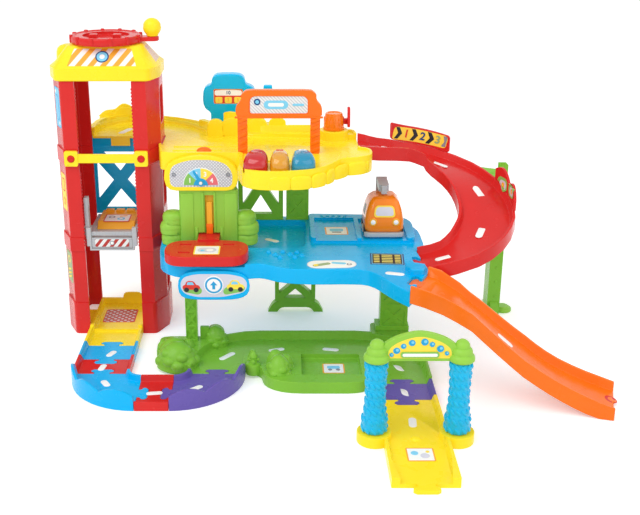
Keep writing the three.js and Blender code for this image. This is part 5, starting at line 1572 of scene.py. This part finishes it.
@dataclass
class Pillars:
    """The green pillars, frames and trestle under the decks."""

    def build(self) -> None:
        """Builds and dresses the pillars."""
        for node in ("a_frame", "lattice_pillar", "trestle", "left_pillar", "right_pillar", "far_pillar"):
            softened(node, FRAME_GREEN, edge=0.6)
        self.studs()
        profile = [(0, 0), (13.4, 0), (14, 0.8), (14, 4.4), (13, 5.6), (10.6, 5.8), (10, 7.6), (8.8, 8.6),
                   (0, 8.8)]
        turned("far_foot", profile, LEAF, at(604, 30), 40)

    def studs(self) -> None:
        """Adds the studs along the far pillar's edge."""
        made = Piece("far_pillar_studs")
        x = span("far_pillar")[1].x - 9
        for step in range(8):
            z = 30 + step * 24
            made.take(bar((x, 16.6, z), (x, 15.2, z), 2.2), FRAME_GREEN)
        made.done()


@dataclass
class WeighStation:
    """The weigh station: its green body and bushes, the red tray, the dial and the pointer."""

    foot: float = 154.3
    front_y: float = -89.6
    centre: float = 146.4

    def build(self) -> None:
        """Builds and dresses the weigh station."""
        softened("weigh_station", LEAF, edge=1.4)
        softened("weigh_tray", RED, Body.SCALE, edge=1.2)
        softened("weigh_rod", WARM_YELLOW, Body.SCALE, edge=0.6)
        softened("dial_head", YELLOW, edge=1.4)
        softened("dial_pointer", INK_BLUE, Body.POINTER, edge=0.2)
        self.front()
        for name, side in SIDES:
            self.bush(name, side)
        self.tray_print()
        self.dial_print()

    def front(self) -> None:
        """Adds the raised front ribs, the slot's edges and the orange strip inside it."""
        made = Piece("station_ribs")
        ribs = (
            (107, 125, 1.4, 4, 78, 1.2), (169, 187, 1.4, 4, 78, 1.2),
            (136.8, 139.6, 2.2, 20, 80, 0.9), (153.8, 156.6, 2.2, 20, 80, 0.9),
            (126.6, 130.4, 1.8, 1, 27, 0.8), (162.4, 166.2, 1.8, 1, 27, 0.8),
        )
        for left, right, out, low, high, edge in ribs:
            corner = (left, self.front_y - out, self.foot + low)
            made.take(block(corner, (right, self.front_y + 1, self.foot + high), edge), LEAF)
        made.done()
        strip = block((141, -82.8, self.foot + 24), (153.4, -81.2, self.foot + 75), 0.4)
        Piece("slot_strip").take(strip, WARM_YELLOW).done()
        Piece("rod_foot").take(block((142.4, -88.8, 171.2), (152, -83, 186), 0.8), ORANGE).done(Body.SCALE)

    def bush(self, name: str, side: int) -> None:
        """Makes the three-tiered bush at one side.

        Args:
            name: left or right.
            side: -1 for the left one, 1 for the right one.
        """
        made = Piece(f"station_bush_{name}")
        shares = [(0, 0), (0.62, 0), (0.84, 0.07), (0.96, 0.22), (1, 0.42), (0.98, 0.6), (0.9, 0.78),
                  (0.72, 0.92), (0.4, 0.99), (0, 1)]
        tiers = ((53.6, 16.2, 0, 19), (54.4, 17, 15.6, 19), (52, 15.4, 30.4, 18.6))
        for out, reach, low, rise in tiers:
            place = at(self.centre + side * out, -78.4, self.foot + low)
            made.take(spun(shares, 40), LEAF, place @ Matrix.Diagonal((reach, reach * 0.95, rise, 1)))
        made.done(smooth=50)

    def tray_print(self) -> None:
        """Lays the sheet on the weighing tray."""
        sheet = Print("weigh_tray_print", Carrier("weigh_tray").resting(147, -150))
        sheet.card(36, 34, 2, INK_YELLOW, INK_WHITE, 2)
        sheet.box(26, 18, 8, INK_LILAC).disc(4, 0, 5, INK_WHITE).disc(-6, -2, 3, INK_SKY)
        sheet.done(Body.SCALE)

    def dial_print(self) -> None:
        """Lays the hatched dial with its numbered fan."""
        low, high = span("dial_head")
        face, _ = Carrier("dial_head").meet(Vector((100, FRONT, 262)), AHEAD)
        height = high.z - low.z
        sheet = Print("dial_print", facing((low.x + high.x) / 2, face.y, low.z))
        reach = (high.x - low.x) / 2 - 7
        outline = [(-reach + 2, 6, 7), (reach - 2, 6, 7), (reach, height - 18, 14),
                   (reach - 22, height - 6, 16), (-reach + 22, height - 6, 16), (-reach, height - 18, 14)]
        sheet.shape(outline, GREY_HATCH)
        x, y = -0.4, 9.0
        sheet.lay(fan_mesh(0, 25, 0, math.pi, 24), INK_WHITE, x, y)
        wedge, ring = 45, 16.5
        for step, finish in enumerate((INK_PINK, INK_YELLOW, INK_SKY, INK_GREEN)):
            sheet.sector(x, y, 24, step * wedge, wedge, finish)
        for step, figures in enumerate("4321"):
            angle = math.radians(wedge / 2 + wedge * step)
            sheet.number(figures, x + ring * math.cos(angle), y + ring * math.sin(angle), 9.5, INK_WHITE)
        sheet.lay(fan_mesh(0, 10, 0, math.pi, 20), INK_BLUE, x, y - 0.4)
        sheet.disc(-38, 24, 2.8, INK_GREY, 1.7).disc(38, 24, 2.8, INK_GREY, 1.7)
        sheet.done()
        profile = [(0, 0), (2.2, 0), (2.3, 0.6), (1.4, 1.2), (0, 1.3)]
        turned("pointer_cap", profile, WHITE, facing(136.8, -97.0, 249.0), 20)


@dataclass
class DeckThings:
    """What stands on the yellow deck: the gate, the buttons, the stop and the fuel pump."""

    lens_levels: int = 16
    lens_lean: float = 0.12
    lens_reach: float = 0.985
    lens_wall: float = 0.3
    lens_fullness: float = 0.55
    cup_ribs: int = 12
    gate_front: float = -78.4
    gate_ledge: float = 286.9 + LANE * 0.655

    def build(self) -> None:
        """Builds and dresses these."""
        softened("gate_arch", ORANGE, edge=1.3, corner=6, along=(0, 1, 0), least=3)
        self.gate()
        self.buttons()
        self.stop()
        self.pump()

    def gate(self) -> None:
        """Lays the hatched panel's sheet, and adds the slanted ribs of the posts and the ledge."""
        low, high = span("gate_arch")
        panel, _ = Carrier("gate_arch").meet(Vector((245, FRONT, 356)), AHEAD)
        sheet = Print("gate_print", facing(246.4, panel.y, 356.2))
        sheet.shape([(-40, -12, 3), (40, -12, 3), (40, 12, 8), (-40, 12, 8)], PALE_HATCH)
        sheet.box(34, 12, 6, INK_SKY, -4, 0).box(22, 5, 2.4, INK_WHITE, -4, 0)
        sheet.disc(-30, 4, 4.6, INK_NAVY).disc(-30, 4, 2.6, INK_SKY)
        sheet.box(16, 3, 1.4, INK_SKY, 27, 0)
        sheet.done()
        ribs = Piece("gate_ribs")
        slant = Matrix.Rotation(math.radians(-24), 4, "Y")
        for x in (low.x + 9.2, high.x - 9.2):
            for step in range(5):
                place = at(x, self.gate_front + 0.6, 293 + step * 10.4) @ slant
                ribs.take(block((-6.6, -2.2, -2.6), (6.6, 0.6, 2.6), 1.1), ORANGE, place)
        corners = ((low.x - 1.4, self.gate_front - 1.2, self.gate_ledge - 2),
                   (high.x + 1.4, self.gate_front + 1, self.gate_ledge + 1))
        ribs.take(block(*corners, 0.7), ORANGE)
        ribs.done()

    def buttons(self) -> None:
        """Dresses the three clear buttons and lays a small sheet on each."""
        rows = (
            (Body.RED_BUTTON, BUTTON_RED, 217, INK_PINK),
            (Body.AMBER_BUTTON, BUTTON_AMBER, 247.6, INK_RED),
            (Body.BLUE_BUTTON, BUTTON_BLUE, 278, INK_WHITE),
        )
        for body, finish, x, label in rows:
            node = body.value
            Piece(node + "_lens").take(self.lens(node), finish).done(body, replaces=(node,), smooth=70)
            sheet = Print(node + "_print", at(x, -141, span(node)[1].z + 0.1))
            sheet.box(10, 6.4, 3, label).box(5, 2.2, 1, finish).done(body)

    def lens(self, node: str) -> Mesh:
        """Makes a domed button over a packed button's foot, which leans back a little.

        Args:
            node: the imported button.

        Returns:
            The closed mesh, in millimetres.
        """
        low, high = span(node)
        middle = (low + high) / 2
        size = high - low
        places = [vert.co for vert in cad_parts[node].data.vertices]
        corners = {(round(place.x / MM, 1), round(place.y / MM, 1)) for place in places
                   if place.z / MM < low.z + 0.5}
        foot = sorted(corners, key=lambda spot: math.atan2(spot[1] - middle.y, spot[0] - middle.x))
        mesh = bmesh.new()
        rings = []
        for step in range(self.lens_levels):
            angle = math.pi / 2 * max(0, step - 1) / (self.lens_levels - 1)
            reach, up = self.lens_reach * math.cos(angle) ** self.lens_fullness, math.sin(angle)
            share = 0 if step == 0 else self.lens_wall + (1 - self.lens_wall) * up
            back = middle.y + self.lens_lean * size.y * up * up
            rings.append([mesh.verts.new((middle.x + (x - middle.x) * reach, back + (y - middle.y) * reach,
                                          low.z + size.z * share)) for x, y in foot])
        for ring, above in zip(rings, rings[1:]):
            for index in range(len(foot)):
                mesh.faces.new((ring[index - 1], ring[index], above[index], above[index - 1]))
        mesh.faces.new(rings[0][::-1])
        mesh.faces.new(rings[-1])
        return mesh

    def stop(self) -> None:
        """Makes the ribbed orange cup and dresses the red paddle."""
        low, high = span("stop_knob")
        x, y = (low.x + high.x) / 2, (low.y + high.y) / 2
        profile = [(0, 0), (15.4, 0), (16, 0.8), (15.9, 3), (15.2, 3.4), (15.1, 8), (13.9, 20), (13.2, 21.2),
                   (13.3, 22.6), (12.6, 24.4), (11.2, 25), (9.8, 24.6), (9.2, 23.6), (0, 23.4)]
        made = Piece("stop_cup").take(spun(profile, 40), CUP_ORANGE, at(x, y, low.z))
        for step in range(self.cup_ribs):
            place = at(x, y, low.z, turn=360 * step / self.cup_ribs)
            made.take(block((13.2, -1.2, 4), (15.2, 1.2, 19), 0.5), CUP_ORANGE, place)
        made.done(Body.STOP, replaces=("stop_knob",), smooth=40)
        softened("stop_paddle", RED, Body.STOP, edge=0.8)

    def pump(self) -> None:
        """Makes the fuel pump sign with its display, keys and nozzle."""
        softened("fuel_pump", PUMP, edge=2.4)
        sheet = Print("pump_print", facing(168, 91.9, 332.7))
        sheet.card(45, 23, 2.2, INK_ORANGE, INK_RED, 1)
        sheet.shape([(-21, 1.4, 3), (21, 1.4, 3), (21, 9.4, 3), (9, 10.4, 3), (-9, 10.4, 3), (-21, 9.4, 3)],
                    INK_WHITE)
        sheet.number("10", 0, 5.7, 7.4, INK_NAVY)
        for step in (-1, 0, 1):
            sheet.box(11, 9.4, 2, INK_YELLOW, step * 14.6, -5.4)
            sheet.number(str(step + 2), step * 14.6, -5.4, 6, INK_ORANGE)
        sheet.done()
        nozzle = Piece("pump_nozzle")
        nozzle.take(ball((6.8, 5.2, 4.2), 3), TEAL_CLEAR, at(229.2, 100.8, 344.6))
        nozzle.take(bar((229.6, 100.8, 306), (229.6, 100.8, 342), 3.6, 3.2), TEAL_CLEAR)
        nozzle.done(smooth=50)


@dataclass
class Brush:
    """One washing brush: a waisted roll covered with slanted bumps."""

    body: Body
    rows: int = 8
    round_bumps: int = 11
    slant: float = 38.0
    bump: Point = (2.0, 2.7, 5.6)
    root: float = 0.3
    lowest_row: float = 0.06
    row_range: float = 0.88
    profile: tuple[Pair, ...] = (
        (5.4, 0.0), (13.4, 0.0), (14.8, 0.02), (15.8, 0.07), (15.4, 0.18), (13.9, 0.26), (12.6, 0.34),
        (11.7, 0.5), (11.9, 0.65), (12.3, 0.78), (13.2, 0.93), (12.6, 0.98), (11.6, 0.995), (5.4, 0.995),
        (5.4, 0.0),
    )

    def build(self) -> None:
        """Builds and dresses the brush."""
        node = self.body.value
        low, high = span(node)
        x, y = (low.x + high.x) / 2, (low.y + high.y) / 2
        rise = high.z - low.z
        roll = spun([(reach, up * rise) for reach, up in self.profile], 36)
        made = Piece(node + "_roll").take(roll, BRUSH, at(x, y, low.z))
        slant = Matrix.Rotation(math.radians(self.slant), 4, "X")
        for row in range(self.rows):
            up = self.lowest_row + self.row_range * row / (self.rows - 1)
            out = at(self.reach_at(up) - self.root, 0)
            for step in range(self.round_bumps):
                turn = 360 * (step + 0.5 * (row % 2)) / self.round_bumps
                made.take(ball(self.bump, 2), BRUSH, at(x, y, low.z + up * rise, turn) @ out @ slant)
        made.done(self.body, replaces=(node,), smooth=60)

    def reach_at(self, up: float) -> float:
        """Finds the roll's reach at a share of its height.

        Args:
            up: the share.

        Returns:
            The reach, in millimetres.
        """
        outside = self.profile[1:-2]
        for (reach, low), (ahead, high) in zip(outside, outside[1:]):
            if low <= up <= high:
                return reach + (ahead - reach) * (up - low) / (high - low)
        raise ValueError(f"the roll has no reach at {up}")


@dataclass
class CarWash:
    """The car wash lane with its brushes, its arch and its sheets."""

    centre: float = 415.0
    arch_y: float = -372.0
    arch_far: float = 90.0
    cap_foot: float = 110.4

    def build(self) -> None:
        """Builds and dresses the car wash."""
        softened("wash_base", YELLOW, edge=0.9)
        softened("wash_arch", LEAF, edge=0.9)
        Brush(Body.LEFT_BRUSH).build()
        Brush(Body.RIGHT_BRUSH).build()
        base = Carrier("wash_base")
        dash("wash_dash", base, 416, -338, 24, 10, 86)
        sheet = Print("wash_lane_print", base.resting(416.5, -414))
        sheet.card(34, 30, 2, INK_ORANGE, INK_WHITE, 1.8)
        sheet.disc(-7, 3, 4.6, INK_SKY).disc(5, -3, 5.6, INK_LILAC).disc(9, 6, 2.4, INK_YELLOW)
        sheet.done()
        self.arch_print()
        self.caps()

    def arch_print(self) -> None:
        """Lays the yellow field with blue drops on the arch, in front and behind."""
        foot = span("wash_arch")[0].z
        field = [(-38, 4, 3), (38, 4, 3), (38, 15, 5), (30, 23, 6), (17, 29, 6), (0, 33.4, 8), (-17, 29, 6),
                 (-30, 23, 6), (-38, 15, 5)]
        drops = ((-28, 14, 4.2), (-20, 20, 3.4), (-10, 24.4, 4), (5, 25.6, 4.4), (14, 22.6, 3.2),
                 (24, 17, 4.2), (32, 11, 2.6), (-34, 9, 2.4))
        middle = Vector((self.centre, self.arch_y, 130))
        for name, way in (("front", AHEAD), ("back", -AHEAD)):
            hit, _ = Carrier("wash_arch").meet(middle - way * self.arch_far, way)
            sheet = Print(f"wash_arch_print_{name}", plane((self.centre, hit.y, foot), (way.y, 0, 0), UP))
            sheet.shape(field, INK_YELLOW)
            for x, y, reach in drops:
                sheet.disc(x, y, reach, INK_BLUE)
                sheet.disc(x + reach * 0.2, y + reach * 0.2, reach * 0.45, INK_SKY)
            sheet.box(46, 7, 3, INK_GREEN, 0, 9).box(42, 4, 1.8, INK_WHITE, 0, 9).done()

    def caps(self) -> None:
        """Makes the leafy caps over both brushes."""
        profile = [(0, 0.2), (14.8, 0.2), (15.8, 1.2), (16, 3.4), (15.4, 6.4), (13.6, 8.4), (12.2, 9.2),
                   (12.6, 10.4), (12.6, 13), (11.6, 15.4), (9.8, 16.8), (9, 17.4), (9.2, 18.6), (8.8, 21.4),
                   (7, 24.4), (4, 26.6), (0, 27.4)]
        for name, _ in SIDES:
            low, high = span(f"brush_{name}")
            place = at((low.x + high.x) / 2, (low.y + high.y) / 2, self.cap_foot)
            turned(f"wash_cap_{name}", profile, LEAF, place, 36, 50)


@dataclass
class Truck:
    """The loose toy truck: its rounded cab, chassis, windows, lamps and wheels."""

    x: float = 399.2
    y: float = -41.6

    def build(self) -> None:
        """Builds and dresses the truck."""
        softened("truck_body", TRUCK_ORANGE, Body.TRUCK, edge=1.6, smooth=60, sharp=45)
        softened("truck_chassis", TRUCK_GREY, Body.TRUCK, edge=1.6)
        self.windows()
        self.lamps()
        self.wheels()

    def met(self, start: Point, way: Vector, across: Place) -> Matrix:
        """Gives the frame of the cab's surface where a ray meets it.

        Args:
            start: where the ray starts, in millimetres.
            way: its direction.
            across: the direction of the frame's local X.

        Returns:
            The frame, whose local Y leans up along the surface.
        """
        hit, normal = Carrier("truck_body").meet(Vector(start), way)
        return plane(hit, across, UP - normal * UP.dot(normal))

    def windows(self) -> None:
        """Lays the windscreen in its frame, and the side windows."""
        body = Carrier("truck_body")
        sheet = Print("truck_windscreen", self.met((self.x, FRONT, 198), AHEAD, (1, 0, 0)), body)
        sheet.shape([(-18, -8.6, 6), (18, -8.6, 6), (15, 11, 6), (-15, 11, 6)], TRUCK_ORANGE)
        sheet.shape([(-16, -7.4, 5), (16, -7.4, 5), (13.4, 9.6, 5), (-13.4, 9.6, 5)], INK_YELLOW)
        sheet.shape([(-13.6, -5.2, 4), (13.6, -5.2, 4), (11.4, 7.6, 4), (-11.4, 7.6, 4)], INK_LILAC)
        sheet.done(Body.TRUCK)
        for name, side in SIDES:
            place = self.met((self.x + side * 200, self.y, 194), Vector((-side, 0, 0)), (0, side, 0))
            pane = Print(f"truck_window_{name}", place, body)
            pane.shape([(-13, -6, 4), (13, -6, 4), (10, 8, 4), (-9, 8, 4)], INK_GREY).done(Body.TRUCK)

    def lamps(self) -> None:
        """Makes the two round headlights."""
        made = Piece("truck_lamps")
        rim = [(0, -1), (5.4, -1), (5.6, 0.6), (4.6, 1.4), (3.8, 1), (0, 1.8)]
        glass = [(0, 0.4), (3.6, 0.4), (3.4, 1.5), (1.8, 2.2), (0, 2.4)]
        for _, side in SIDES:
            place = self.met((self.x + side * 16.5, FRONT, 184), AHEAD, (1, 0, 0))
            made.take(spun(rim, 28), WARM_YELLOW, place).take(spun(glass, 24), INK_WHITE, place)
        made.done(Body.TRUCK, smooth=50)

    def wheels(self) -> None:
        """Makes the wheels with their rims, hubs and axles."""
        for body in (Body.FRONT_WHEELS, Body.REAR_WHEELS):
            node = body.value
            low, high = span(node)
            y, z = (low.y + high.y) / 2, (low.z + high.z) / 2
            half, reach = (high.x - low.x) / 2, (high.z - low.z) / 2
            profile = [(0, 0), (reach - 1, 0), (reach, 0.8), (reach, 7), (reach - 1, 7.8), (reach - 2.4, 7.8),
                       (reach - 3, 7), (3, 6.6), (2.4, 7.6), (0, 7.9)]
            made = Piece(node + "_set")
            for _, side in SIDES:
                place = plane((self.x + side * (half - 8), y, z), (0, side, 0), UP)
                made.take(spun(profile, 32), BLACK, place)
            made.take(bar((self.x - half + 6, y, z), (self.x + half - 6, y, z), 2.4), BLACK)
            made.done(body, replaces=(node,), smooth=40)


@dataclass
class Studio:
    """The pale floor, the soft lamps and the camera, in metres."""

    camera_place: Point = (0.248, -1.4845, 0.661)
    tilt: float = 20.66
    lens: float = 57.88
    shift: float = 0.0625
    light: float = 0.74
    floor_lift: float = 0.33
    floor_shades: Pair = (0.93, 0.95)
    floor_reach: float = 14.0
    target: Point = (0.25, -0.1, 0.15)

    def build(self) -> None:
        """Builds the studio."""
        self.camera()
        self.world()
        self.floor()
        self.lamp("key lamp", (-1.1, -1.6, 2.4), 2.2, 40)
        self.lamp("fill lamp", (1.9, -1.5, 1.5), 2.0, 12)
        bpy.context.scene.view_settings.view_transform = "Standard"

    def camera(self) -> None:
        """Sets up the photograph's view."""
        data = bpy.data.cameras.new("photo view")
        data.sensor_width = 36
        data.lens = self.lens
        data.shift_x = self.shift
        data.clip_end = 50
        made = bpy.data.objects.new("photo view", data)
        made.location = self.camera_place
        made.rotation_euler = (math.radians(90 - self.tilt), 0, 0)
        bpy.context.scene.collection.objects.link(made)
        bpy.context.scene.camera = made

    def world(self) -> None:
        """Lights the toy softly from all round, and shows white to the camera and in reflections."""
        world = bpy.data.worlds.new("soft studio")
        world.use_nodes = True
        tree = world.node_tree
        shade = tree.nodes["Background"]
        level = tree.nodes.new("ShaderNodeMapRange")
        level.inputs["To Min"].default_value = self.light
        level.inputs["To Max"].default_value = 1.0
        tree.links.new(self.seen(tree), level.inputs["Value"])
        tree.links.new(level.outputs["Result"], shade.inputs["Strength"])
        shade.inputs["Color"].default_value = (1, 1, 1, 1)
        bpy.context.scene.world = world

    def seen(self, tree: bpy.types.NodeTree) -> Socket:
        """Tells the rays that show the studio from those that only light the toy.

        Args:
            tree: the node tree.

        Returns:
            1 for the camera's rays and for mirrored and refracted ones, else 0.
        """
        path = tree.nodes.new("ShaderNodeLightPath")
        found, *others = [path.outputs[f"Is {kind} Ray"] for kind in ("Camera", "Glossy", "Transmission")]
        for other in others:
            larger = tree.nodes.new("ShaderNodeMath")
            larger.operation = "MAXIMUM"
            tree.links.new(found, larger.inputs[0])
            tree.links.new(other, larger.inputs[1])
            found = larger.outputs[0]
        return found

    def floor(self) -> None:
        """Lays the pale floor."""
        tree = NodeTree("pale floor")
        dark, light = ((shade,) * 3 for shade in self.floor_shades)
        tree.dye(tree.mix(tree.noise(tree.position(), 3, 2), dark, light))
        tree.set(Roughness=0.9, Specular_IOR_Level=0.0, Emission_Color=(1, 1, 1, 1))
        tree.dye(tree.math("MULTIPLY", self.seen(tree.tree), self.floor_lift), "Emission Strength")
        mesh = bmesh.new()
        bmesh.ops.create_circle(mesh, cap_ends=True, segments=64, radius=self.floor_reach)
        bmesh.ops.translate(mesh, vec=(0.25, 2, -0.0002), verts=mesh.verts)
        data = bpy.data.meshes.new("floor")
        mesh.to_mesh(data)
        mesh.free()
        data.materials.append(tree.material)
        made = bpy.data.objects.new("floor", data)
        bpy.context.scene.collection.objects.link(made)

    def lamp(self, name: str, place: Point, size: float, power: float) -> None:
        """Hangs a soft square lamp that points at the toy.

        Args:
            name: its name.
            place: where it hangs, in metres.
            size: its side.
            power: its power, in watts.
        """
        data = bpy.data.lights.new(name, "AREA")
        data.size = size
        data.energy = power
        made = bpy.data.objects.new(name, data)
        made.location = place
        made.rotation_euler = (Vector(self.target) - Vector(place)).to_track_quat("-Z", "Y").to_euler()
        bpy.context.scene.collection.objects.link(made)


def main() -> None:
    logging.basicConfig(level=logging.INFO, format="%(name)s: %(message)s")
    parts = (Studio(), Tower(), Roof(), Lift(), Track(), Base(), BlueDeck(), YellowDeck(), Ramps(), Pillars(),
             WeighStation(), DeckThings(), CarWash(), Truck())
    for part in parts:
        part.build()
        log.info("%s built", type(part).__name__)


if __name__ == "__main__":
    main()
